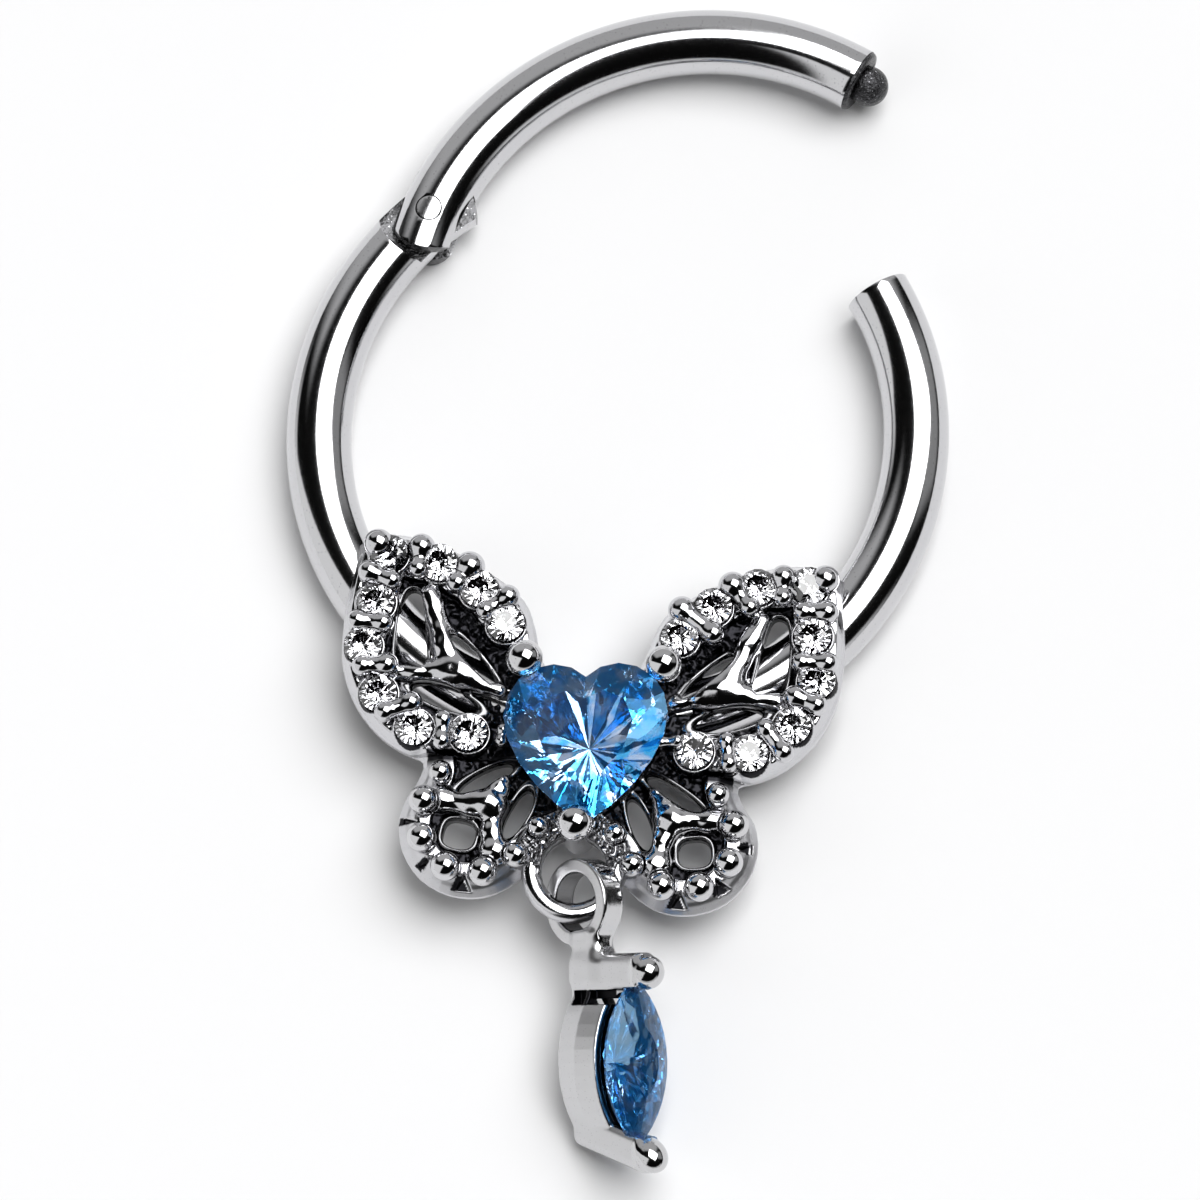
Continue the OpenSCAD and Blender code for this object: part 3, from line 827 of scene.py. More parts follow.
def wingPlan(x, y, side):
    # The plan of a wing at a place: distances to its outline, its openings, the line through its
    # stones and the nearest stone
    b = butterfly
    x = x - side * lowerShift(y) * np.clip(x, 0, 1)
    outside = outlineDistance(wingOutline, x, y)
    gaps = outlineDistance(pocketOutline, x, y)
    for cx, cy, halfLong, halfWide, turn, full in b["openings"]:
        gaps = np.minimum(gaps, oval(x, y, cx, cy, halfLong, halfWide, turn, full))
    chain, nearest = far, far
    for cx, cy in b["stones"]:
        nearest = np.minimum(nearest, np.hypot(x - cx, y - cy))
    for (ax, ay), (bx, by) in zip(b["stones"], b["stones"][1:]):
        chain = np.minimum(chain, segmentDistance(x, y, ax, ay, bx, by))
    return x, outside, gaps, chain, nearest


# Size and share of each layer of lumps, and an offset that keeps the table's edges off the casting
skin = dict(seed=11, cells=128, layers=[(0.2, 1.0), (0.11, 0.7)], offsetX=40.3, offsetY=60.7)
tableShape = (len(skin["layers"]), skin["cells"], skin["cells"])
skinTable = np.random.default_rng(skin["seed"]).uniform(-1, 1, tableShape).astype(np.float32)


def castGrain(x, y):
    # Unpolished casting skin: two sizes of irregular lumps
    total, cells = 0, skin["cells"]
    for layer, (size, share) in enumerate(skin["layers"]):
        u, v = x / size + skin["offsetX"], y / size + skin["offsetY"]
        i, j = np.floor(u).astype(int), np.floor(v).astype(int)
        fu, fv = u - i, v - j
        fu, fv = fu * fu * (3 - 2 * fu), fv * fv * (3 - 2 * fv)

        def spot(di, dj):
            return skinTable[layer, (i + di) % cells, (j + dj) % cells]

        total = total + share * ((spot(0, 0) * (1 - fu) + spot(1, 0) * fu) * (1 - fv)
                                 + (spot(0, 1) * (1 - fu) + spot(1, 1) * fu) * fv)
    return total


def prongBar(x, y, z, ax, ay, ar, bx, by, br):
    # Two prong balls with their tops level, joined by a waist
    p = prongShape
    ar, br = p["swell"] * ar, p["swell"] * br
    az, bz = p["top"] - ar, p["top"] - br
    a = np.sqrt((x - ax) ** 2 + (y - ay) ** 2 + (z - az) ** 2) - ar
    b = np.sqrt((x - bx) ** 2 + (y - by) ** 2 + (z - bz) ** 2) - br
    low = (az + bz) / 2 - p["sag"]
    neck = np.hypot(segmentDistance(x, y, ax, ay, bx, by), z - low) - p["waist"] * min(ar, br)
    return blendUnion(np.minimum(a, b), neck, p["soft"])


def notchDistance(x, y, z, side):
    # The dark wedges between the beads of a lower wing
    shape, nearest = notchShape, far
    for cx, cy, turn, left, right in butterfly["notches"]:
        wide = right if side == 1 else left
        c, s = direction(turn)
        u, v = (x - cx) * c + (y - cy) * s, np.abs((y - cy) * c - (x - cx) * s)
        flank = v * shape["steep"] - (u + shape["start"]) * shape["spread"] * wide
        wedge = np.maximum(flank, u - shape["end"])
        nearest = np.minimum(nearest, np.maximum(wedge, shape["floor"] - z))
    return nearest


def loopPlan(x, y):
    # Distance from the middle line of the tail loop in plan, negative inside it
    t = tailLoop
    away = np.hypot((x - t["x"]) / t["halfWide"], (y + heartY - t["y"]) / t["halfLong"])
    return (away - 1) * t["halfWide"]


def raised(body, z, part, flat, lift=0):
    # Adds one part of the relief to the casting
    _, top, edge, soft = relief[part]
    return blendUnion(body, slab(flat, z, butterfly["low"], top + lift, edge), soft)


def plateField(y, z, upper, plan, skinX):
    # The plate with its rims, and the parts that stand up from it
    b, p = butterfly, plateShape
    _, outside, gaps, chain, nearest = plan
    reach = {part: sizes[0] for part, sizes in relief.items()}
    lumps = p["lump"] * castGrain(skinX, y)
    lumps = lumps * fade(-outside - p["lumpInset"], p["lumpFade"])
    foot, slope, share = (wallLean[k][upper] for k in ("foot", "slope", "share"))
    wall = np.maximum(outside, (outside + (z - foot) * slope) * share)
    plate = slab(np.maximum(wall, -gaps - p["gapEdge"]), z, b["low"], b["recess"] + lumps, p["edge"])
    rims = np.hypot(gaps - p["rimAt"], z - b["recess"] - p["rimAt"]) - p["rimRadius"]
    body = blendUnion(plate, np.maximum(rims, wall), p["rimSoft"])
    if upper:
        ridge = np.maximum(np.maximum(chain - reach["ridge"], wall), -gaps - p["gapEdge"] / 2)
        body = raised(body, z, "ridge", ridge, lumps)
        body = raised(body, z, "bezel", np.maximum(nearest - reach["bezel"], wall))
        return raised(body, z, "outerWall", np.maximum(wall, -(outside + reach["outerWall"])))
    flange = np.maximum(np.maximum(wall, -(outside + reach["flange"])), -gaps)
    body = raised(body, z, "flange", flange)
    # The rough metal that carries the tail loop, and the room that the loop needs inside it
    loop = loopPlan(skinX, y)
    root = np.maximum(np.abs(loop) - reach["root"], rootShape["limit"] - y)
    body = raised(body, z, "root", root, rootShape["lump"] * castGrain(skinX, y))
    return np.maximum(body, -(loop + tailLoop["wire"] - rootShape["clear"]))


def withArms(body, x, y, z, side, skinX):
    # Hand-worked arms and joints: lumpy and soft
    a = armShape
    waves = a["skin"] * castGrain(a["skinStretch"] * skinX, a["skinStretch"] * y)
    for k, (ax, ay, bx, by, ra, rb) in enumerate(butterfly["arms"]):
        t = np.clip(((x - ax) * (bx - ax) + (y - ay) * (by - ay)) / ((bx - ax) ** 2 + (by - ay) ** 2), 0, 1)
        swell = a["swell"] + a["wave"] * np.sin(a["waveRate"] * t + a["wavePhase"] * k + side)
        r = (ra + (rb - ra) * t) * swell + waves
        arm = np.hypot(segmentDistance(x, y, ax, ay, bx, by), (z - a["height"]) * a["flat"]) - r
        body = blendUnion(body, arm, a["soft"])
    for cx, cy, rx, ry, rz in butterfly["blobs"]:
        away = np.sqrt(((x - cx) / rx) ** 2 + ((y - cy) / ry) ** 2 + ((z - a["blobHeight"]) / rz) ** 2)
        body = blendUnion(body, (away - 1) * min(rx, ry, rz) - waves, a["blobSoft"])
    return body


def castingField(x, y, z, side, upper):
    # One wing's casting. x grows outwards on both sides, and skinX is the place's real x
    b, seat = butterfly, seatShape
    plainX, skinX = x, side * x
    plan = wingPlan(x, y, side)
    body = plateField(y, z, upper, plan, skinX)
    x, _, gaps, _, nearest = plan
    body = withArms(body, x, y, z, side, skinX)
    body = raised(body, z, "collet", outlineDistance(colletOutline, skinX, y))
    body = blendCut(body, gaps, plateShape["gapSoft"])
    # The heart's cup, the stones' seats and the beads' hollows
    cup = outlineDistance(cupOutline, skinX, y) + np.maximum(relief["collet"][1] - z, 0)
    body = blendCut(body, cup, seat["cupSoft"])
    cone = (nearest - seat["radius"] + np.maximum(seat["top"] - z, 0) * seat["slope"]) * seat["share"]
    body = blendCut(body, np.maximum(cone, seat["floor"] - z), seat["soft"])
    for cx, cy, r in b["beads"]:
        moat = np.sqrt((x - cx) ** 2 + (y - cy) ** 2 + (z - b["beadHeight"]) ** 2) - b["beadRadius"] * r
        body = blendCut(body, moat - seat["moat"], seat["soft"])
    if upper:
        for prong in prongs[side]:
            body = blendUnion(body, prongBar(x, y, z, *prong), prongShape["join"])
        edge = b["seam"] - y
    else:
        body = np.maximum(body, -notchDistance(x, y, z, side))
        edge = y - b["seam"] - b["seamLap"]
    return np.maximum(np.maximum(body, -plainX - b["midLap"]), edge)


# Where the painted shade and the satin lie: heights below which they start and widths over which they
# fade. Each pair is for the lower and the upper wings
paintedShade = dict(top=1.78, fade=0.14, inset=(0.5, 0.12), seatTop=2.0, seatRadius=0.5, softly=0.1,
            seamTop=1.95, seamReach=0.3, seamFade=0.2, seamEnd=3.7, loopShare=0.7, loopReach=0.5,
            loopTop=2.02, loopEnd=-2.95, loopLow=1.3, cupClear=0.03, notchClear=0.02, notchTop=1.77)
satinWall = dict(inset=(0.5, 0.1), top=1.86, fade=0.06)


def wingMasks(x, y, z, side, upper):
    # How sheltered each place is, from 0 to 1, for the painted shade, and how satin the outer walls are
    f = paintedShade
    _, outside, _, _, nearest = wingPlan(x, y, side)
    # Painted shade in the recesses, in the stones' seats, along the seam between the wings, round the tail
    # loop and in the notches
    hollow = fade(f["top"] - z, f["fade"]) * fade(-outside - f["inset"][upper], f["softly"])
    hollow = np.maximum(hollow, fade(f["seatTop"] - z, f["softly"]) * (nearest < f["seatRadius"]))
    seam = fade(f["seamReach"] - np.abs(y - butterfly["seam"]), f["seamFade"])
    hollow = np.maximum(hollow, (z < f["seamTop"]) * seam * (x < f["seamEnd"]))
    loop = f["loopShare"] * (np.abs(loopPlan(side * x, y)) < f["loopReach"])
    loop = loop * fade(f["loopTop"] - z, f["softly"]) * (y > f["loopEnd"]) * (z > f["loopLow"])
    hollow = np.maximum(hollow, loop)
    hollow *= outlineDistance(cupOutline, side * x, y) > f["cupClear"]
    if not upper:
        notch = (notchDistance(x, y, z, side) < f["notchClear"]) * (z < f["notchTop"])
        hollow = np.maximum(hollow, notch)
    satin = fade(outside + satinWall["inset"][upper], satinWall["fade"])
    return hollow, satin * fade(satinWall["top"] - z, satinWall["fade"])


def wingCasting(side, upper, name):
    low, high, step = wingBox[upper]
    points, faces = surfaceOf(lambda x, y, z: castingField(x, y, z, side, upper), low, high, step)
    hollow, satin = wingMasks(*points.T, side, upper)
    if side == -1:
        faces = faces[:, ::-1]  # the mirrored wing is turned outwards again
    obj = newMesh(name, points * np.array([side, 1, 1.0]) + np.array([0, heartY, 0]), faces)
    markPoints(obj, hollow=hollow, satin=satin)
    finishPiece(obj, castRhodium, "ring", ["butterfly_ring"])


def roundBeads():
    b = butterfly
    places, sizes = [], []
    for s in (1, -1):
        for x, y, r in b["beads"]:
            places.append((s * x + lowerShift(y), heartY + y, b["beadHeight"]))
            sizes.append(b["beadRadius"] * r)
    cloud = pointCloud("wing_beads", places, sizes)
    runTree(cloud, ballTree, {"Segments": b["beadSegments"], "Rings": b["beadRings"],
                              "Material": beadRhodium})
    finishPiece(cloud, beadRhodium, "ring")


# Three ball prongs on posts. The posts' shape is a list of (width added to the radius, height)
heartBalls = dict(places=[(-1.49, 1.94), (1.85, 2.07), (0.12, -2.0)], radius=0.45, height=2.85,
                  segments=64, rings=40, post=0.28, postSides=40,
                  shape=[(0.1, 1.25), (0.06, 1.7), (0.0, 2.1), (-0.02, 2.85)])


def heartProngs():
    h = heartBalls
    places = [(x, heartY + y, h["height"]) for x, y in h["places"]]
    cloud = pointCloud("heart_balls", places, [h["radius"]] * len(places))
    runTree(cloud, ballTree, {"Segments": h["segments"], "Rings": h["rings"], "Material": beadRhodium})
    finishPiece(cloud, beadRhodium, "ring")
    shape = [(h["post"] + wider, height) for wider, height in h["shape"]]
    for k, (x, y, _) in enumerate(places):
        profile = [(0, shape[0][1])] + shape + [(0, shape[-1][1])]
        post = lathe(f"heart_post_{k + 1}", profile, sides=h["postSides"])
        post.data.transform(Matrix.Translation((x, y, 0)))
        finishPiece(post, beadRhodium, "ring", sharpAngle=50)


for side, title in ((1, "right"), (-1, "left")):
    wingCasting(side, True, title + "_upper_wing")
    wingCasting(side, False, title + "_lower_wing")
roundBeads()
heartProngs()
print("butterfly made")


# Stones

def brilliant(outline, crown, depth, table, star, rows, girdle=0.04, uneven=0.0, starRise=1.08):
    # Facets of a brilliant cut over any outline with an even number of points. Each row of the
    # pavilion is a share of the outline and a depth, and uneven shifts its corners a little, no two
    # alike
    n, m = len(outline), len(outline) // 2
    ring = [Vector((x, y)) for x, y in outline]
    points, faces = [], []

    def add(p, z):
        points.append((p[0], p[1], z))
        return len(points) - 1

    top = [add(p, girdle / 2) for p in ring]
    bottom = [add(p, -girdle / 2) for p in ring]
    tableRing = [add(ring[2 * k] * table, crown) for k in range(m)]
    rise = (crown - girdle / 2) * (1 - star) / (1 - table) * starRise
    starRing = [add(ring[2 * k + 1] * star, girdle / 2 + rise) for k in range(m)]
    faces.append(tuple(tableRing))
    pavilion = [[bottom[2 * k] for k in range(m)]]
    for r, (share, deep) in enumerate(rows):
        first = 1 if r % 2 == 0 else 0
        row = []
        for k in range(m):
            wider = 1 + uneven * math.sin(7.3 * k + 2.1 * r)
            deeper = 1 + uneven * math.cos(5.1 * k + r) / 2
            row.append(add(ring[2 * k + first] * share * wider, -deep * deeper))
        pavilion.append(row)
    pavilion.append([add((0, 0), -depth)] * m)
    for k in range(m):
        a, b, c = 2 * k, 2 * k + 1, (2 * k + 2) % n
        faces.append((tableRing[k], starRing[k], tableRing[(k + 1) % m]))
        faces.append((tableRing[k], starRing[k - 1], top[a], starRing[k]))
        faces.append((starRing[k], top[a], top[b]))
        faces.append((starRing[k], top[b], top[c]))
        faces.append((top[a], bottom[a], bottom[b], top[b]))
        faces.append((top[b], bottom[b], bottom[c], top[c]))
        faces.append((pavilion[1][k], bottom[b], bottom[a]))
        faces.append((pavilion[1][k], bottom[c], bottom[b]))
        for r in range(2, len(pavilion)):
            before, after = (k - 1, k) if r % 2 == 0 else (k, (k + 1) % m)
            sides = pavilion[r - 1]
            faces.append((pavilion[r][k], sides[after], pavilion[r - 2][k], sides[before]))
    return points, faces


def stoneMesh(name, outline, **shape):
    points, faces = brilliant(outline, **shape)
    obj = newMesh(name, points, faces, smooth=False)
    tool = bmesh.new()
    tool.from_mesh(obj.data)
    bmesh.ops.connect_verts_concave(tool, faces=tool.faces)
    bmesh.ops.recalc_face_normals(tool, faces=tool.faces)
    tool.to_mesh(obj.data)
    tool.free()
    return obj


roundCut = dict(crown=0.15, depth=0.4, table=0.58, star=0.8, rows=[(0.25, 0.3)])
heartCut = dict(crown=0.42, depth=1.6, table=0.6, star=0.8, girdle=0.06, rows=[(0.72, 0.45), (0.4, 0.93)],
                uneven=0.06)
marquiseCut = dict(crown=0.36, depth=0.9, table=0.42, star=0.7, girdle=0.06,
                   rows=[(0.76, 0.3), (0.52, 0.55), (0.26, 0.76)], uneven=0.1)
# Most tables lean away from the lamp, a few (side, number) catch it. Leans and tips are in degrees
gemPose = dict(bright={(-1, 0), (1, 3), (1, 7)}, brightLean=1.0, lean=-4.5, leanSpread=2.5, tip=3.5,
               twist=1.7)


def wingStones(side, name, node):
    outline = circleOutline(butterfly["stoneRadius"], butterfly["stoneSides"])
    pattern = stoneMesh("round_pattern", outline, **roundCut)
    places = [(side * x, heartY + y, butterfly["girdle"]) for x, y in butterfly["stones"]]
    turns = []
    for k in range(len(places)):
        lean = gemPose["lean"] - gemPose["leanSpread"] * math.sin(5.1 * k + side)
        if (side, k) in gemPose["bright"]:
            lean = gemPose["brightLean"]
        tip = gemPose["tip"] * math.cos(3.7 * k + 2 * side)
        pose = (Matrix.Rotation(math.radians(lean), 3, "Y") @ Matrix.Rotation(math.radians(tip), 3, "X")
                @ Matrix.Rotation(gemPose["twist"] * k * side, 3, "Z"))
        turns.append(tuple(pose.to_euler("XYZ")))
    cloud = pointCloud(name, places, [1.0] * len(places), turns)
    runTree(cloud, patternTree, {"Pattern": pattern, "Smooth": False, "Material": clearZirconia})
    removeObject(pattern)
    finishPiece(cloud, clearZirconia, "ring", [node])


def heartStone():
    obj = stoneMesh("heart_gem", heartOutline, **heartCut)
    obj.data.transform(Matrix.Translation((heartSeat["x"], heartY, heartBalls["height"]))
                       @ Matrix.Rotation(math.radians(heartSeat["turn"]), 4, "Z")
                       @ Matrix.Rotation(math.radians(heartSeat["lean"]), 4, "Y"))
    finishPiece(obj, azureHeart, "ring", ["heart_stone"])


wingStones(1, "right_wing_gems", "right_wing_stones")
wingStones(-1, "left_wing_gems", "left_wing_stones")
heartStone()
print("stones set")


# Tail loop and drop. The drop is modelled about its bail's centre, hanging towards -y

drop = dict(at=(0.43, heartY - 2.98 - 0.65, 1.62), lean=6.0, dip=12.8, roll=46.0, step=0.032,
            low=(-1.2, -6.9, -1.2), high=(1.2, 1.2, 2.8), back=-0.17, middle=-3.82, girdle=1.69,
            stoneLong=4.0, stoneWide=2.0, outlineSteps=14)
bailShape = dict(inner=0.71, outer=1.05, half=0.33, edge=0.07)
neckShape = dict(x=-0.02, y=-1.3, halfWide=0.36, halfLong=0.62, corner=0.08, front=0.76, edge=0.24,
                 soft=0.16)
# The basket's outlines, each as much shorter and narrower than the stone, then its heights and edges
basket = dict(wall=(0.1, 0.36), room=(0.7, 0.8), paintedShade=(0.3, 0.42), seat=(-0.06, -0.04), below=0.56,
              edge=0.05, ridgeAt=0.46, ridge=0.08, bulge=0.05, soft=0.05, floor=0.1, roomSoft=0.04,
              seatGap=0.03, seatSlope=0.9, seatDeep=0.9, seatTall=0.45)
# Each lug's end, lean and softness: the upper one is upright and melts into the neck, and the lower
# one leans outwards
lugShape = dict(sides=((1, 0.0, 0.28), (-1, 0.3, 0.05)), apart=2.12, leanFrom=1.9, half=0.38, long=0.47,
                corner=0.28, above=0.42, edge=0.1, ballUp=0.46, ballRadius=0.41, soft=0.1)
# Slots through the upper end of the basket's wall, at two heights and on both sides of a rib
slots = dict(y=-2.27, half=0.17, heights=((-0.04, 0.4), (0.52, 1.6)), reach=0.9, rib=0.12)

# The loop's mesh, its lumps and how they stretch along and drift round the wire, how steep the outer
# side is, and where its satin begins
loopSkin = dict(sides=32, steps=96, lump=0.13, stretch=1.6, drift=0.2, steepness=0.45, satinFrom=0.3,
                satinFade=0.3)


def tailRing():
    # A wire loop whose outer side is a steep wall with a lumpy skin
    t, s = tailLoop, loopSkin
    sidesRound, steps = s["sides"], s["steps"]
    points, faces = [], []
    for i in range(steps):
        a = 2 * math.pi * i / steps
        for k in range(sidesRound):
            b = 2 * math.pi * k / sidesRound
            grain = castGrain(np.float64(s["stretch"] * math.cos(a) + s["drift"] * b),
                              np.float64(s["stretch"] * math.sin(a)))
            swell = min(1 + s["lump"] * float(grain), 1.0)
            steep = 1 if math.cos(b) < 0 else abs(math.cos(b)) ** -s["steepness"]
            out = t["wire"] * math.cos(b) * steep * swell
            points.append((t["x"] + (t["halfWide"] + out) * math.cos(a),
                           t["y"] + (t["halfLong"] + out) * math.sin(a), t["z"] + t["wire"] * math.sin(b)))
            row, after, side = i * sidesRound, (i + 1) % steps * sidesRound, (k + 1) % sidesRound
            faces.append((row + k, after + k, after + side, row + side))
    obj = newMesh("tail_ring", points, faces)
    outward = [x for x, _ in circleOutline(1.0, sidesRound)]
    markPoints(obj, satin=[fade(x - s["satinFrom"], s["satinFade"]) for x in outward] * steps)
    finishPiece(obj, castRhodium, "ring")


def marquise(long, wide, n):
    # An outline of two arcs, n points to a side
    r = (long * long + wide * wide) / (4 * wide)
    a = math.asin(long / 2 / r)
    out = []
    for s in (1, -1):
        for i in range(n):
            t = a - 2 * a * i / n
            out.append((s * (r * math.cos(t) - r + wide / 2), s * r * math.sin(t)))
    return out


def smallerMarquise(part):
    shorter, narrower = basket[part]
    return marquise(drop["stoneLong"] - shorter, drop["stoneWide"] - narrower, drop["outlineSteps"])


layDrop = Matrix.Translation(drop["at"])
for angle, axis in (("lean", "Z"), ("dip", "X"), ("roll", "Y")):
    layDrop = layDrop @ Matrix.Rotation(math.radians(drop[angle]), 4, axis)
wallOutline, roomOutline = smallerMarquise("wall"), smallerMarquise("room")
shadeOutline, gemOutline = smallerMarquise("paintedShade"), smallerMarquise("seat")


def roundBox(x, y, halfX, halfY, r):
    # Distance to a rectangle with round corners
    a, b = np.abs(x) - halfX + r, np.abs(y) - halfY + r
    return np.minimum(np.maximum(a, b), 0) + np.hypot(np.maximum(a, 0), np.maximum(b, 0)) - r


def withLugs(body, x, y, z):
    # A lug with a ball on its top at each end of the basket
    d, g = drop, lugShape
    for s, lean, soft in g["sides"]:
        cy = d["middle"] + s * g["apart"] + s * lean * (z - g["leanFrom"])
        flat = roundBox(x, y - cy, g["half"], g["long"], g["corner"])
        lug = slab(flat, z, d["back"], d["girdle"] + g["above"], g["edge"])
        ball = np.sqrt(x ** 2 + (y - cy) ** 2 + (z - d["girdle"] - g["ballUp"]) ** 2) - g["ballRadius"]
        body = blendUnion(body, blendUnion(lug, ball, g["soft"]), soft)
    return body


def dropField(x, y, z):
    d, b, n, k = drop, bailShape, neckShape, basket
    band = np.abs(np.hypot(y, z) - (b["inner"] + b["outer"]) / 2) - (b["outer"] - b["inner"]) / 2
    bail = slab(band, x, -b["half"], b["half"], b["edge"])
    flat = roundBox(x - n["x"], y - n["y"], n["halfWide"], n["halfLong"], n["corner"])
    body = blendUnion(bail, slab(flat, z, d["back"], n["front"], n["edge"]), n["soft"])
    # The basket's wall has a soft ridge along its middle
    my = y - d["middle"]
    wall = outlineDistance(wallOutline, x, my) - k["bulge"] + k["ridge"] * np.abs(z - k["ridgeAt"])
    body = blendUnion(body, slab(wall, z, d["back"], d["girdle"] - k["below"], k["edge"]), k["soft"])
    body = withLugs(body, x, y, z)
    # The room inside it, the stone's seat and the slots
    body = blendCut(body, np.maximum(outlineDistance(roomOutline, x, my), k["floor"] - z), k["roomSoft"])
    cone = np.maximum(d["girdle"] - k["seatGap"] - z, 0) * k["seatSlope"]
    stone = np.maximum(outlineDistance(gemOutline, x, my) + cone, d["girdle"] - k["seatDeep"] - z)
    body = np.maximum(body, -np.maximum(stone, z - d["girdle"] - k["seatTall"]))
    for low, high in slots["heights"]:
        upright = np.abs(z - (low + high) / 2) - (high - low) / 2
        hole = np.maximum(np.abs(y - slots["y"]) - slots["half"], upright)
        beside = np.maximum(np.abs(x) - slots["reach"], slots["rib"] - np.abs(x))
        body = np.maximum(body, -np.maximum(hole, beside))
    return body


# Places of the painted shade in the basket, the slots and the bail, and of the brushed flat sides
dropShade = dict(fade=0.04, low=0.05, reach=1.6, slotTop=1.2, slotEdge=0.012, slotReach=0.55,
                bailShare=0.75, bailEdge=0.04, bailReach=0.3)
dropSatin = dict(facing=0.45, spread=0.3, top=2.0, fade=0.1)


def dropMasks(points, facing):
    f, s = dropShade, dropSatin
    x, y, z = points.T
    my = y - drop["middle"]
    # Painted shade inside the basket and in its slots
    hollow = fade(-outlineDistance(shadeOutline, x, my), f["fade"])
    hollow = hollow * (z > f["low"]) * (np.abs(my) < f["reach"])
    lowest = slots["heights"][0][0]
    hole = np.maximum(np.abs(y - slots["y"]) - slots["half"], np.maximum(lowest - z, z - f["slotTop"]))
    hollow = np.maximum(hollow, (hole < f["slotEdge"]) * (np.abs(x) < f["slotReach"]))
    # The inside of the bail gets painted shade, and stays rougher with its casting skin
    bail = (np.hypot(y, z) < bailShape["inner"] + f["bailEdge"]) * (np.abs(x) < f["bailReach"])
    hollow = np.maximum(hollow, f["bailShare"] * bail)
    # The flat sides are brushed, all that faces forward or round the bail is polished
    satin = fade(-facing - s["facing"], s["spread"]) * fade(s["top"] - z, s["fade"])
    return hollow, satin


def dropFrame():
    points, faces = surfaceOf(dropField, drop["low"], drop["high"], drop["step"])
    obj = newMesh("drop_casting", points, faces)
    normals = np.zeros(3 * len(points), np.float32)
    obj.data.vertex_normals.foreach_get("vector", normals)
    hollow, satin = dropMasks(points, normals[::3])
    markPoints(obj, hollow=hollow, satin=satin)
    obj.data.transform(layDrop)
    finishPiece(obj, dropRhodium, "ring", ["drop_frame"])


def dropStone():
    outline = marquise(drop["stoneLong"], drop["stoneWide"], drop["outlineSteps"])
    obj = stoneMesh("marquise_gem", outline, **marquiseCut)
    obj.data.transform(Matrix.Translation((0, drop["middle"], drop["girdle"])))
    obj.data.transform(layDrop)
    finishPiece(obj, azureDrop, "ring", ["drop_stone"])


tailRing()
dropFrame()
dropStone()
print("drop laid")


# Floor, light and camera

stand = dict(half=1.0, color=(0.8, 0.8, 0.805, 1), rough=0.9, specular=0.1)


def makeFloor():
    h = stand["half"]
    floor = newMesh("floor", [(-h, -h, 0), (h, -h, 0), (h, h, 0), (-h, h, 0)], [(0, 1, 2, 3)], smooth=False)
    material, _, shader = newMaterial("paleFloor")
    shader.inputs["Base Color"].default_value = stand["color"]
    shader.inputs["Roughness"].default_value = stand["rough"]
    shader.inputs["Specular IOR Level"].default_value = stand["specular"]
    floor.data.materials.append(material)


# Panels are rectangles seen in one direction: degrees from the zenith and round it, their turn,
# half sizes, softness and strength. Cards are the overlaps of two half skies, each a direction,
# an offset and a softness, and their strength. Ahead is how far in front a panel ends, dark is the
# light that is left everywhere, and the camera itself sees the backdrop
studio = dict(
    panels=[(24.8, 39, -15, 0.45, 0.445, 0.03, 5.6), (72, 100, 10, 0.95, 0.8, 0.25, 0.5),
            (66, 25, 115, 0.3, 0.3, 0.1, 0.3)],
    cards=[(((-0.177, -0.936, -0.307), 0, 0.02), ((-0.866, 0.5, 0), 0, 0.06), 0.9),
           (((0, 0, -1), 0.2, 0.06), ((-0.35, -0.94, 0), 0, 0.2), 0.7)],
    ahead=0.02, dark=0.003, backdrop=1.0)


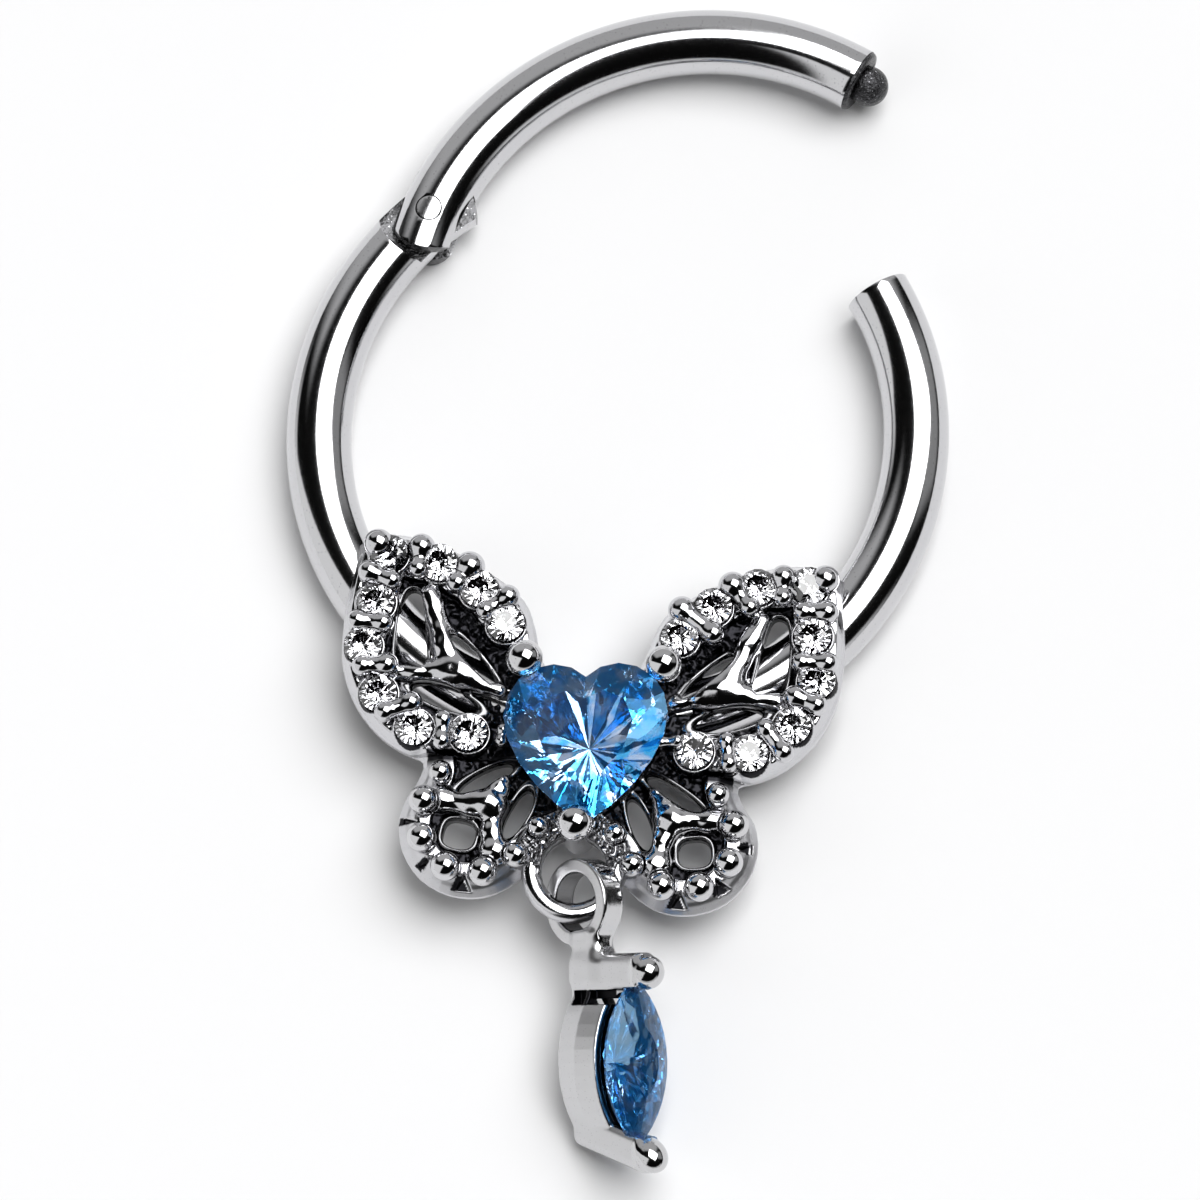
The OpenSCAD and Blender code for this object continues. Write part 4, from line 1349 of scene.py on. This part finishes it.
def makeWorld():
    world = bpy.data.worlds.new("studio")
    bpy.context.scene.world = world
    world.use_nodes = True
    tree = world.node_tree
    background = tree.nodes["Background"]
    place = tree.nodes.new("ShaderNodeTexCoord").outputs["Generated"]

    def dot(way):
        node = addNode(tree, "ShaderNodeVectorMath", operation="DOT_PRODUCT")
        tree.links.new(place, node.inputs[0])
        node.inputs[1].default_value = way
        return node.outputs["Value"]

    def edge(value, soft):
        # 1 where value is well above 0
        return addNode(tree, "ShaderNodeMapRange", {"From Min": -soft, "From Max": soft}, {"Value": value},
                       interpolation_type="SMOOTHSTEP").outputs["Result"]

    def panel(zenith, azimuth, turn, halfWide, halfTall, soft):
        (cz, sz), (ca, sa), (ct, st) = (direction(v) for v in (zenith, azimuth, turn))
        middle = Vector((sz * ca, sz * sa, cz))
        across = Vector((ct, st, 0))
        across = (across - middle * across.dot(middle)).normalized()
        ahead = dot(middle)
        inside = addMath(tree, "GREATER_THAN", ahead, studio["ahead"])
        for axis, half in ((across, halfWide), (middle.cross(across), halfTall)):
            offset = addMath(tree, "ABSOLUTE", addMath(tree, "DIVIDE", dot(axis), ahead))
            inside = addMath(tree, "MULTIPLY", inside, edge(addMath(tree, "SUBTRACT", half, offset), soft))
        return inside

    def card(*halves):
        first, second = (edge(addMath(tree, "ADD", dot(way), offset), soft) for way, offset, soft in halves)
        return addMath(tree, "MULTIPLY", first, second)

    light = 0.0
    masks = [(panel(*p[:-1]), p[-1]) for p in studio["panels"]]
    masks += [(card(*c[:-1]), c[-1]) for c in studio["cards"]]
    for mask, strength in masks:
        light = addMath(tree, "MAXIMUM", light, addMath(tree, "MULTIPLY", mask, strength))
    light = addMath(tree, "ADD", light, studio["dark"])
    seen = tree.nodes.new("ShaderNodeLightPath").outputs["Is Camera Ray"]
    mix = addNode(tree, "ShaderNodeMix", {"B": studio["backdrop"]}, {"Factor": seen, "A": light},
                  data_type="FLOAT")
    tree.links.new(mix.outputs["Result"], background.inputs["Strength"])
    background.inputs["Color"].default_value = (1, 1, 1, 1)


# The camera's angles in degrees, its distance in millimetres, and the pixel of the ring's centre
view = dict(tilt=16.031, azimuth=-72.3, roll=-12.55, distance=186.025, originX=616.919, originY=435.085,
            halfAngle=4.5, picture=1200, clipStart=0.01, clipEnd=20)


def makeCamera():
    (ct, st), (ca, sa), (cr, sr) = (direction(view[k]) for k in ("tilt", "azimuth", "roll"))
    out = Vector((st * ca, st * sa, ct))
    upright = Vector((-ca * ct, -sa * ct, st))
    level = upright.cross(out)
    right = cr * level + sr * upright
    up = -sr * level + cr * upright
    half = view["picture"] / 2
    focal = half / math.tan(math.radians(view["halfAngle"]))
    u = (view["originX"] - half) / focal * view["distance"]
    v = (half - view["originY"]) / focal * view["distance"]
    place = (-u * right - v * up + view["distance"] * out + Vector((0, 0, tubeRadius))) * mm
    camera = bpy.data.cameras.new("camera")
    camera.angle = 2 * math.radians(view["halfAngle"])
    camera.clip_start = view["clipStart"]
    camera.clip_end = view["clipEnd"]
    obj = bpy.data.objects.new("camera", camera)
    obj.matrix_world = Matrix(((right.x, up.x, out.x, place.x), (right.y, up.y, out.y, place.y),
                               (right.z, up.z, out.z, place.z), (0, 0, 0, 1)))
    bpy.context.scene.collection.objects.link(obj)
    bpy.context.scene.camera = obj


makeFloor()
makeWorld()
makeCamera()
bpy.context.scene.view_settings.view_transform = "Standard"
print("floor, light and camera set")
